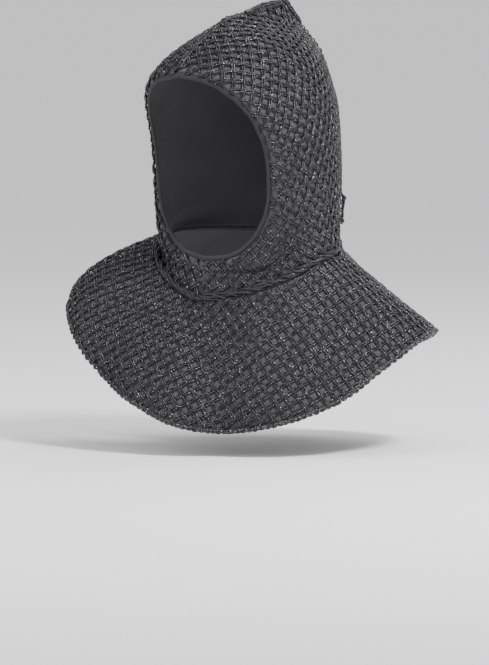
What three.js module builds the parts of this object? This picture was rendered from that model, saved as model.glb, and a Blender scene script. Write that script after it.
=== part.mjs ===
// Knight costume hood: imitation-mail net over a cloth lining, with a joined shoulder cape.
// Millimetres, +Z up. The face opening looks along -Y and +X is the wearer's left.
// The origin is the crown seat, where the inside of the hood lies on the top of the head.
import * as THREE from 'three';

// Driving dimensions of the hood
const HOOD_HALF_WIDTH = 98;
const HOOD_DEPTH = 255;
const HOOD_HEIGHT = 298;
const NECK_LEAN = 13;

// Driving dimensions of the cape
const CAPE_HALF_WIDTH = 204;
const CAPE_DEPTH = 430;
const CAPE_AXIS_Y = 12;
const CAPE_TURN = 22;
const NECK_GATHER_DEPTH = 2;
const NECK_GATHER_COUNT = 14;

// Cloth
const LINING_WALL = 1;
const NET_WALL = 2.2;
const LAYER_GAP = 0.7;
const SEAM_GAP = 0.4;

// Trim
const FACING_WIDTH = 5;
const NECK_ROLL_RADIUS = 3.4;
const HEM_ROLL_RADIUS = 3.2;
const SEAM_THICKNESS = 2.4;
const SEAM_HEIGHT = 7;
const SEAM_LOOP_COUNT = 30;
const TRIM_GAP = 0.4;

// Net pattern: half a lozenge is one step across or down
const HOOD_STEPS_ALONG = 8;
const HOOD_STEPS_UP = 12;
const CAPE_STEPS_AROUND = 28;
const CAPE_STEPS_DOWN = 4;
const HOLE_SHARE = 0.62;

// Rows of a table as objects with named columns
const table = (columns, rows) =>
  rows.map((row) => Object.fromEntries(columns.map((column, k) => [column, row[k]])));

// Hood sections from the neck seam up to the ridge: front point, widest side point and back seam.
// x is a share of HOOD_HALF_WIDTH, y of HOOD_DEPTH and z of HOOD_HEIGHT.
// dip lowers a section between its front and its side, as a share of HOOD_HEIGHT.
const HOOD_ROWS = table(
  ['frontX', 'frontY', 'frontZ', 'sideX', 'sideY', 'sideZ', 'dip', 'backY', 'backZ'],
  [
    [0.00, -0.286, -1.000, 1.03, 0.02, -0.806, 0.000, 0.510, -0.765],
    [0.00, -0.267, -0.923, 1.03, 0.02, -0.779, 0.032, 0.549, -0.700],
    [0.00, -0.255, -0.859, 1.02, 0.02, -0.751, 0.046, 0.576, -0.634],
    [0.25, -0.247, -0.843, 1.00, 0.02, -0.720, 0.045, 0.588, -0.570],
    [0.48, -0.224, -0.812, 0.99, 0.02, -0.680, 0.050, 0.596, -0.503],
    [0.71, -0.197, -0.725, 0.98, 0.01, -0.624, 0.045, 0.600, -0.430],
    [0.82, -0.186, -0.614, 0.96, 0.00, -0.530, 0.024, 0.602, -0.349],
    [0.83, -0.198, -0.480, 0.95, -0.02, -0.415, 0.007, 0.592, -0.268],
    [0.78, -0.252, -0.352, 0.90, -0.03, -0.300, 0.000, 0.557, -0.195],
    [0.63, -0.333, -0.252, 0.78, -0.05, -0.185, 0.000, 0.518, -0.121],
    [0.36, -0.392, -0.191, 0.51, -0.09, -0.070, 0.000, 0.412, -0.040],
    [0.00, -0.412, -0.168, 0.00, -0.12, 0.010, 0.000, 0.259, 0.067],
  ],
);
const OPENING_ROW = 2;
const BACK_SHARPNESS = 1.9;
const SIDE_RISE = 0.7;
const LEAN_END = 0.7;

// Cape hem around the shoulders, from the front towards the wearer's left.
// reach is a share of CAPE_HALF_WIDTH and hemZ of CAPE_DEPTH, swell bows the profile outwards
// and kick turns the last stretch out, as shares of the profile's own reach.
const CAPE_ROWS = [
  { angle: 0, reach: 0.765, hemZ: -1.000, swell: 0.30, kick: 0.00 },
  { angle: 45, reach: 0.843, hemZ: -0.945, swell: 0.24, kick: 0.02 },
  { angle: 90, reach: 0.985, hemZ: -0.775, swell: 0.18, kick: 0.08 },
  { angle: 135, reach: 0.930, hemZ: -0.825, swell: 0.36, kick: 0.02 },
  { angle: 180, reach: 0.870, hemZ: -0.895, swell: 0.30, kick: 0.00 },
  { angle: 225, reach: 0.930, hemZ: -0.800, swell: 0.45, kick: 0.00 },
  { angle: 270, reach: 0.995, hemZ: -0.698, swell: 0.85, kick: 0.00 },
  { angle: 315, reach: 0.850, hemZ: -0.890, swell: 0.50, kick: 0.00 },
];

// Soft flutes in the cape: angle and spread in degrees, lift as a share of CAPE_HALF_WIDTH
const CAPE_FLUTES = [
  { angle: -12, spread: 9, lift: 0.030 },
  { angle: 8, spread: 8, lift: -0.028 },
  { angle: 30, spread: 10, lift: 0.022 },
  { angle: 66, spread: 10, lift: -0.020 },
  { angle: -48, spread: 10, lift: -0.024 },
  { angle: 122, spread: 12, lift: 0.022 },
  { angle: 160, spread: 12, lift: -0.020 },
  { angle: -120, spread: 12, lift: 0.022 },
  { angle: -155, spread: 12, lift: -0.018 },
];

// Soft dents and swells of the hood side, at shares u along and v up a panel.
// depth is a share of HOOD_HALF_WIDTH, outwards.
const HOOD_DENTS = [
  { u: 0.32, v: 0.16, spreadU: 0.10, spreadV: 0.14, depth: -0.020 },
  { u: 0.14, v: 0.14, spreadU: 0.08, spreadV: 0.16, depth: 0.015 },
  { u: 0.55, v: 0.08, spreadU: 0.10, spreadV: 0.10, depth: 0.035 },
  { u: 0.75, v: 0.22, spreadU: 0.10, spreadV: 0.14, depth: -0.035 },
  { u: 0.45, v: 0.50, spreadU: 0.16, spreadV: 0.20, depth: 0.020 },
];

// Height of the frilled seam along the ridge and down the back, as shares of SEAM_HEIGHT
const SEAM_ROWS = [
  { along: 0.00, height: 0.25 },
  { along: 0.25, height: 0.30 },
  { along: 0.42, height: 0.60 },
  { along: 0.50, height: 0.45 },
  { along: 0.72, height: 0.90 },
  { along: 0.85, height: 1.00 },
  { along: 1.00, height: 0.60 },
];

const clamp = (value, low, high) => Math.min(high, Math.max(low, value));
const radians = (degrees) => degrees * Math.PI / 180;

// Smooth value through evenly spaced samples that never overshoots them
function monotone(values, position) {
  const last = values.length - 1;
  const i = clamp(Math.floor(position), 0, last - 1);
  const t = position - i;
  const step = (k) => values[k + 1] - values[k];
  const slope = (k) => {
    if (k === 0) return step(0);
    if (k === last) return step(last - 1);
    const product = step(k - 1) * step(k);
    return product > 0 ? 2 * product / (step(k - 1) + step(k)) : 0;
  };
  const t2 = t * t;
  const t3 = t2 * t;
  return values[i] * (2 * t3 - 3 * t2 + 1) + values[i + 1] * (3 * t2 - 2 * t3)
    + slope(i) * (t3 - 2 * t2 + t) + slope(i + 1) * (t3 - t2);
}

// Smooth value around a closed ring of evenly spaced samples
function periodic(values, position) {
  const count = values.length;
  const i = Math.floor(position);
  const t = position - i;
  const at = (k) => values[(((i + k) % count) + count) % count];
  return 0.5 * (2 * at(0) + (at(1) - at(-1)) * t
    + (2 * at(-1) - 5 * at(0) + 4 * at(1) - at(2)) * t * t
    + (3 * at(0) - at(-1) - 3 * at(1) + at(2)) * t * t * t);
}

const hoodColumn = (name, v) =>
  monotone(HOOD_ROWS.map((row) => row[name]), clamp(v, 0, 1) * (HOOD_ROWS.length - 1));

// Section of the wearer's left half at height share v, from the front point to the back seam
function hoodSection(v) {
  const front = new THREE.Vector3(
    hoodColumn('frontX', v) * HOOD_HALF_WIDTH,
    hoodColumn('frontY', v) * HOOD_DEPTH,
    hoodColumn('frontZ', v) * HOOD_HEIGHT,
  );
  const side = new THREE.Vector3(
    hoodColumn('sideX', v) * HOOD_HALF_WIDTH,
    hoodColumn('sideY', v) * HOOD_DEPTH,
    hoodColumn('sideZ', v) * HOOD_HEIGHT,
  );
  const back = new THREE.Vector3(0, hoodColumn('backY', v) * HOOD_DEPTH, hoodColumn('backZ', v) * HOOD_HEIGHT);
  const dip = hoodColumn('dip', v) * HOOD_HEIGHT;
  const points = [];
  const arcSteps = 16;
  for (let k = 0; k <= arcSteps; k += 1) {
    const angle = (k / arcSteps) * Math.PI / 2;
    const rise = (side.z - front.z) * (1 - Math.cos(angle)) ** SIDE_RISE;
    points.push(new THREE.Vector3(
      front.x + (side.x - front.x) * Math.sin(angle),
      side.y + (front.y - side.y) * Math.cos(angle),
      front.z + rise - 1.3 * dip * Math.sin(2 * angle) * Math.cos(angle),
    ));
  }
  for (let k = 1; k <= arcSteps; k += 1) {
    const t = k / arcSteps;
    points.push(new THREE.Vector3(
      side.x * (1 - t ** BACK_SHARPNESS),
      side.y + (back.y - side.y) * t,
      side.z + (back.z - side.z) * t,
    ));
  }
  return points;
}

// Point at the share u of a polyline's length
function alongPolyline(points, u) {
  const lengths = [0];
  for (let k = 1; k < points.length; k += 1) {
    lengths.push(lengths[k - 1] + points[k].distanceTo(points[k - 1]));
  }
  const target = clamp(u, 0, 1) * lengths[lengths.length - 1];
  let k = 1;
  while (k < points.length - 1 && lengths[k] < target) k += 1;
  const t = (target - lengths[k - 1]) / (lengths[k] - lengths[k - 1]);
  return points[k - 1].clone().lerp(points[k], t);
}

// Outward swell of the hood's soft dents, fading out at the seams
function hoodDent(u, v) {
  let depth = 0;
  for (const dent of HOOD_DENTS) {
    const du = (u - dent.u) / dent.spreadU;
    const dv = (v - dent.v) / dent.spreadV;
    depth += dent.depth * Math.exp(-du * du - dv * dv);
  }
  const fade = clamp(u / 0.1, 0, 1) * clamp((1 - u) / 0.1, 0, 1) * clamp((1 - v) / 0.1, 0, 1) * clamp(v / 0.06, 0, 1);
  return depth * HOOD_HALF_WIDTH * fade;
}

// The neck seam leans down to the wearer's left, as the head is turned on the shoulders
const neckLean = (x, v) => -NECK_LEAN * (x / HOOD_HALF_WIDTH) * clamp(1 - v / LEAN_END, 0, 1);

// Point of a hood panel: side is +1 for the wearer's left and -1 for the right
function hoodPoint(side, u, v) {
  const point = alongPolyline(hoodSection(v), u);
  point.x += hoodDent(u, v);
  point.x *= side;
  point.z += neckLean(point.x, v);
  return point;
}

// Outward normal of a hood panel, taken just inside its edges
function hoodNormal(side, u, v) {
  const step = 0.012;
  const cu = clamp(u, step * 1.5, 1 - step * 1.5);
  const cv = clamp(v, step * 1.5, 1 - step * 1.5);
  const along = hoodPoint(side, cu + step, cv).sub(hoodPoint(side, cu - step, cv));
  const up = hoodPoint(side, cu, cv + step).sub(hoodPoint(side, cu, cv - step));
  return along.cross(up).multiplyScalar(side).normalize();
}

// Normal at a seam in the middle plane, as long as both panels' walls need at the mitre
function mitreNormal(u, v) {
  const left = hoodNormal(1, u, v);
  const middle = new THREE.Vector3(0, left.y, left.z).normalize();
  return middle.divideScalar(Math.max(0.6, middle.dot(left)));
}

const inMiddle = (u, v) => u === 1 || v === 1 || (u === 0 && v * (HOOD_ROWS.length - 1) <= OPENING_ROW);

// Point at a height above the lining's outer face
function hoodOffset(side, u, v, height) {
  const normal = inMiddle(u, v) ? mitreNormal(u, v) : hoodNormal(side, u, v);
  return hoodPoint(side, u, v).addScaledVector(normal, height);
}

// Neck seam point at share s of the turn around the neck, from the front over the wearer's left
function neckPoint(s) {
  const turn = s - Math.floor(s);
  return turn <= 0.5 ? hoodPoint(1, 2 * turn, 0) : hoodPoint(-1, 2 * (1 - turn), 0);
}

// Level outward direction at the neck seam, longer at the back seam's mitre
function neckNormal(s) {
  const turn = s - Math.floor(s);
  const [side, u] = turn <= 0.5 ? [1, 2 * turn] : [-1, 2 * (1 - turn)];
  const normal = inMiddle(u, 0) ? mitreNormal(u, 0) : hoodNormal(side, u, 0);
  return normal.setZ(0);
}

// Way up the hood's wall at the neck seam, for one millimetre of height
function neckRise(s) {
  const turn = s - Math.floor(s);
  const [side, u] = turn <= 0.5 ? [1, 2 * turn] : [-1, 2 * (1 - turn)];
  const rise = hoodPoint(side, u, 0.03).sub(hoodPoint(side, u, 0));
  return rise.divideScalar(Math.max(rise.z, 0.7 * rise.length())).setZ(1);
}

function capeColumn(name, s) {
  return periodic(CAPE_ROWS.map((row) => row[name]), s * CAPE_ROWS.length);
}

function capeFlute(s) {
  let lift = 0;
  for (const flute of CAPE_FLUTES) {
    let away = s * 360 - flute.angle;
    away -= 360 * Math.round(away / 360);
    lift += flute.lift * Math.exp(-((away / flute.spread) ** 2));
  }
  return lift * CAPE_HALF_WIDTH;
}

// Cape point at share s around and share t down from the neck seam to the hem
function capePoint(s, t) {
  const bearing = radians(s * 360 + CAPE_TURN);
  const outward = new THREE.Vector3(Math.sin(bearing), -Math.cos(bearing), 0);
  const reach = capeColumn('reach', s) * CAPE_HALF_WIDTH + capeFlute(s);
  const hem = new THREE.Vector3(0, CAPE_AXIS_Y, 0).addScaledVector(outward, reach);
  hem.z = capeColumn('hemZ', s) * CAPE_DEPTH;
  const neck = neckPoint(s);
  const centre = new THREE.Vector3(0, CAPE_AXIS_Y, neck.z);
  const neckOutward = neck.clone().sub(centre).normalize();
  neck.addScaledVector(neckOutward, LAYER_GAP + NET_WALL + LINING_WALL);
  neck.z -= LINING_WALL + 2 * TRIM_GAP;
  const bow = t + capeColumn('swell', s) * t * (1 - t) + capeColumn('kick', s) * (t ** 4 - t);
  const gather = NECK_GATHER_DEPTH * Math.sin(radians(s * 360 * NECK_GATHER_COUNT)) * (1 - t) ** 2 * Math.min(1, 4 * t);
  return new THREE.Vector3(
    neck.x + (hem.x - neck.x) * bow,
    neck.y + (hem.y - neck.y) * bow,
    neck.z + (hem.z - neck.z) * t,
  ).addScaledVector(neckOutward, gather);
}

function capeNormal(s, t) {
  const step = 0.01;
  const ct = clamp(t, step, 1 - step);
  const around = capePoint(s + step, ct).sub(capePoint(s - step, ct));
  const down = capePoint(s, ct + step).sub(capePoint(s, ct - step));
  return down.cross(around).normalize();
}

const capeOffset = (s, t, height) => capePoint(s, t).addScaledVector(capeNormal(s, t), height);

// Triangles over a surface's vertices, with one list of points for each face of the wall
class Cloth {
  constructor(outerAt, innerAt) {
    this.outerAt = outerAt;
    this.innerAt = innerAt;
    this.outer = [];
    this.inner = [];
    this.triangles = [];
    this.ids = new Map();
  }

  vertex(key, where) {
    if (!this.ids.has(key)) {
      this.ids.set(key, this.outer.length);
      this.outer.push(this.outerAt(where));
      this.inner.push(this.innerAt(where));
    }
    return this.ids.get(key);
  }

  between(key, a, b, share) {
    if (!this.ids.has(key)) {
      this.ids.set(key, this.outer.length);
      this.outer.push(this.outer[a].clone().lerp(this.outer[b], share));
      this.inner.push(this.inner[a].clone().lerp(this.inner[b], share));
    }
    return this.ids.get(key);
  }

  triangle(a, b, c, flip) {
    this.triangles.push(flip ? [a, c, b] : [a, b, c]);
  }

  // Closed wall: both faces, and a strip along every open edge
  geometry() {
    const positions = [];
    const put = (p) => positions.push(p.x, p.y, p.z);
    const edges = new Set(this.triangles.flatMap(([a, b, c]) => [`${a},${b}`, `${b},${c}`, `${c},${a}`]));
    for (const [a, b, c] of this.triangles) {
      [this.outer[a], this.outer[b], this.outer[c]].forEach(put);
      [this.inner[a], this.inner[c], this.inner[b]].forEach(put);
      for (const [p, q] of [[a, b], [b, c], [c, a]]) {
        if (edges.has(`${q},${p}`)) continue;
        [this.outer[q], this.outer[p], this.inner[p]].forEach(put);
        [this.outer[q], this.inner[p], this.inner[q]].forEach(put);
      }
    }
    const geometry = new THREE.BufferGeometry();
    geometry.setAttribute('position', new THREE.Float32BufferAttribute(positions, 3));
    return geometry;
  }
}

// The eight points around a lozenge, in half steps from its centre
const LOZENGE = [[2, 0], [1, 1], [0, 2], [-1, 1], [-2, 0], [-1, -1], [0, -2], [1, -1]];

// Lays lozenges over a grid of steps; holes cuts a gap in each whole one.
// place gives a vertex's key and its place on the surface from its grid position.
function layLozenges(cloth, across, down, wraps, place, name, holes, flip) {
  const inside = (x, y) => (wraps || (x >= 0 && x <= 2 * across)) && y >= 0 && y <= 2 * down;
  const vertexAt = (x, y) => {
    const { key, where } = place(x / 2, y / 2);
    return cloth.vertex(key, where);
  };
  for (let i = 0; i <= (wraps ? across - 1 : across); i += 1) {
    for (let j = 0; j <= down; j += 1) {
      if ((i + j) % 2 === 0) continue;
      const centre = vertexAt(2 * i, 2 * j);
      const whole = LOZENGE.every(([dx, dy]) => inside(2 * i + dx, 2 * j + dy));
      for (let k = 0; k < LOZENGE.length; k += 1) {
        const next = (k + 1) % LOZENGE.length;
        const [ax, ay] = [2 * i + LOZENGE[k][0], 2 * j + LOZENGE[k][1]];
        const [bx, by] = [2 * i + LOZENGE[next][0], 2 * j + LOZENGE[next][1]];
        if (!inside(ax, ay) || !inside(bx, by)) continue;
        const a = vertexAt(ax, ay);
        const b = vertexAt(bx, by);
        if (whole && holes) {
          const innerA = cloth.between(`${name}${i},${j},${k}`, centre, a, HOLE_SHARE);
          const innerB = cloth.between(`${name}${i},${j},${next}`, centre, b, HOLE_SHARE);
          cloth.triangle(innerA, a, b, flip);
          cloth.triangle(innerA, b, innerB, flip);
        } else if (!wraps && i === 0 && (ax === 0 || bx === 0)) {
          const middle = vertexAt(0, 2 * j + (ax === 0 ? ay - 2 * j : by - 2 * j) / 2);
          const [near, far] = ax === 0 ? [b, a] : [a, b];
          cloth.triangle(centre, middle, near, flip === (ax === 0));
          cloth.triangle(middle, far, near, flip === (ax === 0));
        } else {
          cloth.triangle(centre, a, b, flip);
        }
      }
    }
  }
}

// Hood wall between two heights: sides lists the panels, and gap keeps them off the middle plane
function hoodWall(sides, low, high, holes, gap) {
  const at = (height) => ({ side, u, v }) => {
    const point = hoodOffset(side, u, v, height);
    if (inMiddle(u, v)) point.x = side * gap / 2;
    return point;
  };
  const cloth = new Cloth(at(high), at(low));
  for (const side of sides) {
    const place = (x, y) => {
      const where = { side, u: x / HOOD_STEPS_ALONG, v: y / HOOD_STEPS_UP };
      const panel = inMiddle(where.u, where.v) ? 'middle' : side;
      return { key: `${panel},${x},${y}`, where };
    };
    layLozenges(cloth, HOOD_STEPS_ALONG, HOOD_STEPS_UP, false, place, `hole${side},`, holes, side < 0);
  }
  return cloth.geometry();
}

function capeWall(low, high, holes) {
  const at = (height) => ({ s, t }) => capeOffset(s, t, height);
  const cloth = new Cloth(at(high), at(low));
  const place = (x, y) => {
    const turn = ((x % CAPE_STEPS_AROUND) + CAPE_STEPS_AROUND) % CAPE_STEPS_AROUND;
    return { key: `${turn},${y}`, where: { s: turn / CAPE_STEPS_AROUND, t: y / CAPE_STEPS_DOWN } };
  };
  layLozenges(cloth, CAPE_STEPS_AROUND, CAPE_STEPS_DOWN, true, place, 'hole', holes, true);
  return cloth.geometry();
}

// Skin through sections of equal point counts, closed into a ring or capped at both ends
function sweep(sections, closed) {
  const positions = [];
  const put = (p) => positions.push(p.x, p.y, p.z);
  const sides = sections[0].length;
  const spans = closed ? sections.length : sections.length - 1;
  for (let i = 0; i < spans; i += 1) {
    const here = sections[i];
    const there = sections[(i + 1) % sections.length];
    for (let k = 0; k < sides; k += 1) {
      const next = (k + 1) % sides;
      [here[k], here[next], there[next]].forEach(put);
      [here[k], there[next], there[k]].forEach(put);
    }
  }
  if (!closed) {
    const first = sections[0];
    const last = sections[sections.length - 1];
    for (let k = 1; k < sides - 1; k += 1) {
      [first[0], first[k + 1], first[k]].forEach(put);
      [last[0], last[k], last[k + 1]].forEach(put);
    }
  }
  const geometry = new THREE.BufferGeometry();
  geometry.setAttribute('position', new THREE.Float32BufferAttribute(positions, 3));
  return geometry;
}

// Oval section around a centre, in the plane of two unit directions
function ovalSection(centre, first, firstRadius, second, secondRadius, sides) {
  return Array.from({ length: sides }, (_, k) => {
    const angle = (k / sides) * 2 * Math.PI;
    return centre.clone()
      .addScaledVector(first, firstRadius * Math.cos(angle))
      .addScaledVector(second, secondRadius * Math.sin(angle));
  });
}

const openingV = (share) => (OPENING_ROW + share * (HOOD_ROWS.length - 1 - OPENING_ROW)) / (HOOD_ROWS.length - 1);

// Turned band around the face opening, in front of the cut edges of the cloth
function faceFacing() {
  const stations = 26;
  const places = [];
  for (let k = 0; k <= stations; k += 1) places.push([1, openingV(k / stations)]);
  for (let k = stations - 1; k > 0; k -= 1) places.push([-1, openingV(k / stations)]);
  const wall = LINING_WALL + LAYER_GAP + NET_WALL;
  const middle = wall / 2 - LINING_WALL;
  const edge = places.map(([side, v]) => hoodOffset(side, 0, v, middle));
  return sweep(places.map(([side, v], k) => {
    const before = edge[(k + places.length - 1) % places.length];
    const after = edge[(k + 1) % places.length];
    const tangent = after.clone().sub(before).normalize();
    const normal = (inMiddle(0, v) ? mitreNormal(0, v) : hoodNormal(side, 0, v)).normalize();
    const forward = normal.clone().cross(tangent).normalize();
    normal.crossVectors(tangent, forward).normalize();
    const centre = edge[k].clone().addScaledVector(forward, FACING_WIDTH / 2 + 2 * TRIM_GAP);
    return ovalSection(centre, forward, FACING_WIDTH / 2, normal, wall / 2 + TRIM_GAP, 8);
  }), true);
}

// Frilled seam standing on the ridge, the peak and the back of the hood
function crownSeam() {
  const route = [];
  const ridgeStations = 30;
  const backStations = 38;
  const first = 0.04;
  for (let k = 0; k <= ridgeStations; k += 1) {
    route.push([first + (1 - first) * (k / ridgeStations), 1]);
  }
  for (let k = 1; k <= backStations; k += 1) route.push([1, 1 - 0.93 * (k / backStations)]);
  const base = route.map(([u, v]) => hoodOffset(1, u, v, LAYER_GAP + NET_WALL).setX(0));
  const heights = SEAM_ROWS.map((row) => row.height);
  const spots = SEAM_ROWS.map((row) => row.along);
  const sections = route.map((_, k) => {
    const along = k / (route.length - 1);
    const tangent = base[Math.min(k + 1, base.length - 1)].clone().sub(base[Math.max(k - 1, 0)]).normalize();
    const up = new THREE.Vector3(1, 0, 0).cross(tangent).normalize();
    let row = spots.findIndex((spot) => spot > along);
    if (row < 0) row = spots.length - 1;
    const blend = (along - spots[row - 1]) / (spots[row] - spots[row - 1]);
    const height = SEAM_HEIGHT * (heights[row - 1] + (heights[row] - heights[row - 1]) * blend);
    const loop = 0.8 + 0.2 * Math.cos(2 * Math.PI * SEAM_LOOP_COUNT * along);
    const low = base[k].clone().addScaledVector(up, TRIM_GAP);
    const high = base[k].clone().addScaledVector(up, TRIM_GAP + 1 + height * loop);
    const half = SEAM_THICKNESS / 2;
    return [
      low.clone().setX(half), low.clone().setX(-half),
      high.clone().setX(-half), high.clone().setX(half),
    ];
  });
  return sweep(sections, false);
}

// Gathered roll over the join of hood and cape
function neckSeam() {
  const stations = 56;
  const sections = [];
  for (let k = 0; k < stations; k += 1) {
    const s = k / stations;
    const offset = LAYER_GAP + NET_WALL + TRIM_GAP + NECK_ROLL_RADIUS;
    const outward = neckNormal(s);
    const rise = neckRise(s).multiplyScalar(NECK_ROLL_RADIUS + NET_WALL + 3 * TRIM_GAP);
    const centre = neckPoint(s).add(rise).addScaledVector(outward, offset + 5 * TRIM_GAP);
    outward.normalize();
    sections.push(ovalSection(centre, new THREE.Vector3(0, 0, 1), NECK_ROLL_RADIUS, outward, NECK_ROLL_RADIUS, 6));
  }
  return sweep(sections, true);
}

// Turned edge below the cut edges of the cape
function capeHem() {
  const stations = 2 * CAPE_STEPS_AROUND;
  const middle = (LAYER_GAP + NET_WALL - LINING_WALL) / 2;
  const sections = [];
  for (let k = 0; k < stations; k += 1) {
    const s = k / stations;
    const normal = capeNormal(s, 1);
    const around = capePoint(s + 0.01, 1).sub(capePoint(s - 0.01, 1)).normalize();
    const down = around.clone().cross(normal).normalize();
    const centre = capePoint(s, 1)
      .addScaledVector(normal, middle)
      .addScaledVector(down, HEM_ROLL_RADIUS + 3 * TRIM_GAP);
    sections.push(ovalSection(centre, normal, HEM_ROLL_RADIUS * 0.8, down, HEM_ROLL_RADIUS, 6));
  }
  return sweep(sections, true);
}

const finishes = {
  net: new THREE.MeshStandardMaterial({ color: 0x3a3c40, roughness: 0.45, metalness: 0.6 }),
  lining: new THREE.MeshStandardMaterial({ color: 0x67656d, roughness: 0.95, metalness: 0 }),
  binding: new THREE.MeshStandardMaterial({ color: 0x36373b, roughness: 0.8, metalness: 0.1 }),
};

function addPiece(group, name, geometry, finish) {
  geometry.computeVertexNormals();
  const mesh = new THREE.Mesh(geometry, finish);
  mesh.name = name;
  group.add(mesh);
}

const group = new THREE.Group();
group.name = 'knight_costume_hood';
const netLow = LAYER_GAP;
const netHigh = LAYER_GAP + NET_WALL;
addPiece(group, 'hood_net_left', hoodWall([1], netLow, netHigh, true, SEAM_GAP), finishes.net);
addPiece(group, 'hood_net_right', hoodWall([-1], netLow, netHigh, true, SEAM_GAP), finishes.net);
addPiece(group, 'hood_lining', hoodWall([1, -1], -LINING_WALL, 0, false, 0), finishes.lining);
addPiece(group, 'face_facing', faceFacing(), finishes.binding);
addPiece(group, 'crown_seam', crownSeam(), finishes.net);
addPiece(group, 'neck_seam', neckSeam(), finishes.net);
addPiece(group, 'cape_net', capeWall(netLow, netHigh, true), finishes.net);
addPiece(group, 'cape_lining', capeWall(-LINING_WALL, 0, false), finishes.lining);
addPiece(group, 'cape_hem', capeHem(), finishes.net);

export default group;
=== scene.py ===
"""Dresses the knight costume hood: net of metallic yarn over a knit lining, with its seams and edges."""
import logging
import math
from dataclasses import dataclass, field
from enum import Enum
from typing import Callable, Iterable

import bpy
import numpy as np
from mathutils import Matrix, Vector
from mathutils.bvhtree import BVHTree

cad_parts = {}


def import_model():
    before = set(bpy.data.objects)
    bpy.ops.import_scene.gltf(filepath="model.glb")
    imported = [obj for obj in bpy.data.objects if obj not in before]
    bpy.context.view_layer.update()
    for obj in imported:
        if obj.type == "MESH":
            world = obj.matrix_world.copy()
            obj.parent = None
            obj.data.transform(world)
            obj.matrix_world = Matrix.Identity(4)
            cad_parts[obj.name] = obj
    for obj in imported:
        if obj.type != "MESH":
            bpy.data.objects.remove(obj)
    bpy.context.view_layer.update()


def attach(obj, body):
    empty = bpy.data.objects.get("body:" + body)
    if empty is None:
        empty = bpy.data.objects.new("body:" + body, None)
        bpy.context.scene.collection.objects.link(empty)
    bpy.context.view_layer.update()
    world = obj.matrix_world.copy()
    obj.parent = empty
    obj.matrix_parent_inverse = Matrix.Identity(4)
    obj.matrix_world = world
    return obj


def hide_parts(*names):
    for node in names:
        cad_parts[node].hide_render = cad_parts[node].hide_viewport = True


LOG = logging.getLogger("hood")
MM = 0.001
BODY = "root"
ACROSS = np.array([1.0, 0.0, 0.0])
UPWARD = np.array([0.0, 0.0, 1.0])
VERTICES_APART_PER_METRE = 1e5
MIDDLE_PLANE = 1e-6
STRAND_MAP = "strand"
TONE = "tone"
DARK_TONE = 0.0
HEM_TONE = 0.3
MIDDLE_TONE = 0.5

Array = np.ndarray
Colour = tuple[float, float, float]
Wave = tuple[float, float, float]


class Side(Enum):
    """A side of the hood as it is worn, with the sign of its x."""

    LEFT = 1
    RIGHT = -1


class HoodColumn(Enum):
    """Columns of HOOD_ROWS: x in shares of the half width, y of the depth, z and dip of the height."""

    FRONT_X = 0
    FRONT_Y = 1
    FRONT_Z = 2
    SIDE_X = 3
    SIDE_Y = 4
    SIDE_Z = 5
    DIP = 6
    BACK_Y = 7
    BACK_Z = 8


# Hood sections from the neck seam up to the ridge, with the columns of HoodColumn
HOOD_ROWS = np.array([
    [0.00, -0.286, -1.000, 1.03, 0.02, -0.806, 0.000, 0.510, -0.765],
    [0.00, -0.267, -0.923, 1.03, 0.02, -0.779, 0.032, 0.549, -0.700],
    [0.00, -0.255, -0.859, 1.02, 0.02, -0.751, 0.046, 0.576, -0.634],
    [0.25, -0.247, -0.843, 1.00, 0.02, -0.720, 0.045, 0.588, -0.570],
    [0.48, -0.224, -0.812, 0.99, 0.02, -0.680, 0.050, 0.596, -0.503],
    [0.71, -0.197, -0.725, 0.98, 0.01, -0.624, 0.045, 0.600, -0.430],
    [0.82, -0.186, -0.614, 0.96, 0.00, -0.530, 0.024, 0.602, -0.349],
    [0.83, -0.198, -0.480, 0.95, -0.02, -0.415, 0.007, 0.592, -0.268],
    [0.78, -0.252, -0.352, 0.90, -0.03, -0.300, 0.000, 0.557, -0.195],
    [0.63, -0.333, -0.252, 0.78, -0.05, -0.185, 0.000, 0.518, -0.121],
    [0.36, -0.392, -0.191, 0.51, -0.09, -0.070, 0.000, 0.412, -0.040],
    [0.00, -0.412, -0.168, 0.00, -0.12, 0.010, 0.000, 0.259, 0.067],
])
OPENING_ROW = 2

# Soft dents of a hood panel: share along, share up, spreads of both, depth in half widths
HOOD_DENTS = [
    (0.32, 0.16, 0.10, 0.14, -0.020),
    (0.14, 0.14, 0.08, 0.16, 0.015),
    (0.55, 0.08, 0.10, 0.10, 0.035),
    (0.75, 0.22, 0.10, 0.14, -0.035),
    (0.45, 0.50, 0.16, 0.20, 0.020),
]

# Cape hem every 45 degrees from the front towards the left side:
# reach in half widths, hem height in cape depths, swell and kick of the profile
CAPE_ROWS = np.array([
    [0.765, -1.000, 0.30, 0.00],
    [0.843, -0.945, 0.24, 0.02],
    [0.985, -0.775, 0.18, 0.08],
    [0.930, -0.825, 0.36, 0.02],
    [0.870, -0.895, 0.30, 0.00],
    [0.930, -0.800, 0.45, 0.00],
    [0.995, -0.698, 0.85, 0.00],
    [0.850, -0.890, 0.50, 0.00],
])

# Soft flutes of the cape: angle and spread in degrees, lift in half widths
CAPE_FLUTES = [
    (-12, 9, 0.030),
    (8, 8, -0.028),
    (30, 10, 0.022),
    (66, 10, -0.020),
    (-48, 10, -0.024),
    (122, 12, 0.022),
    (160, 12, -0.020),
    (-120, 12, 0.022),
    (-155, 12, -0.018),
]

# Half heights in millimetres of the frill's loops, at shares of the crown seam from the face opening
# over the ridge to the neck seam
FRILL_PLACES = [0.0, 0.27, 0.33, 0.355, 0.385, 0.42, 0.45, 0.50, 0.70, 0.89, 0.94, 1.0]
FRILL_HEIGHTS = [1.1, 1.4, 3.4, 3.6, 2.2, 4.4, 4.2, 2.0, 2.1, 2.6, 5.0, 6.6]


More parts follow.
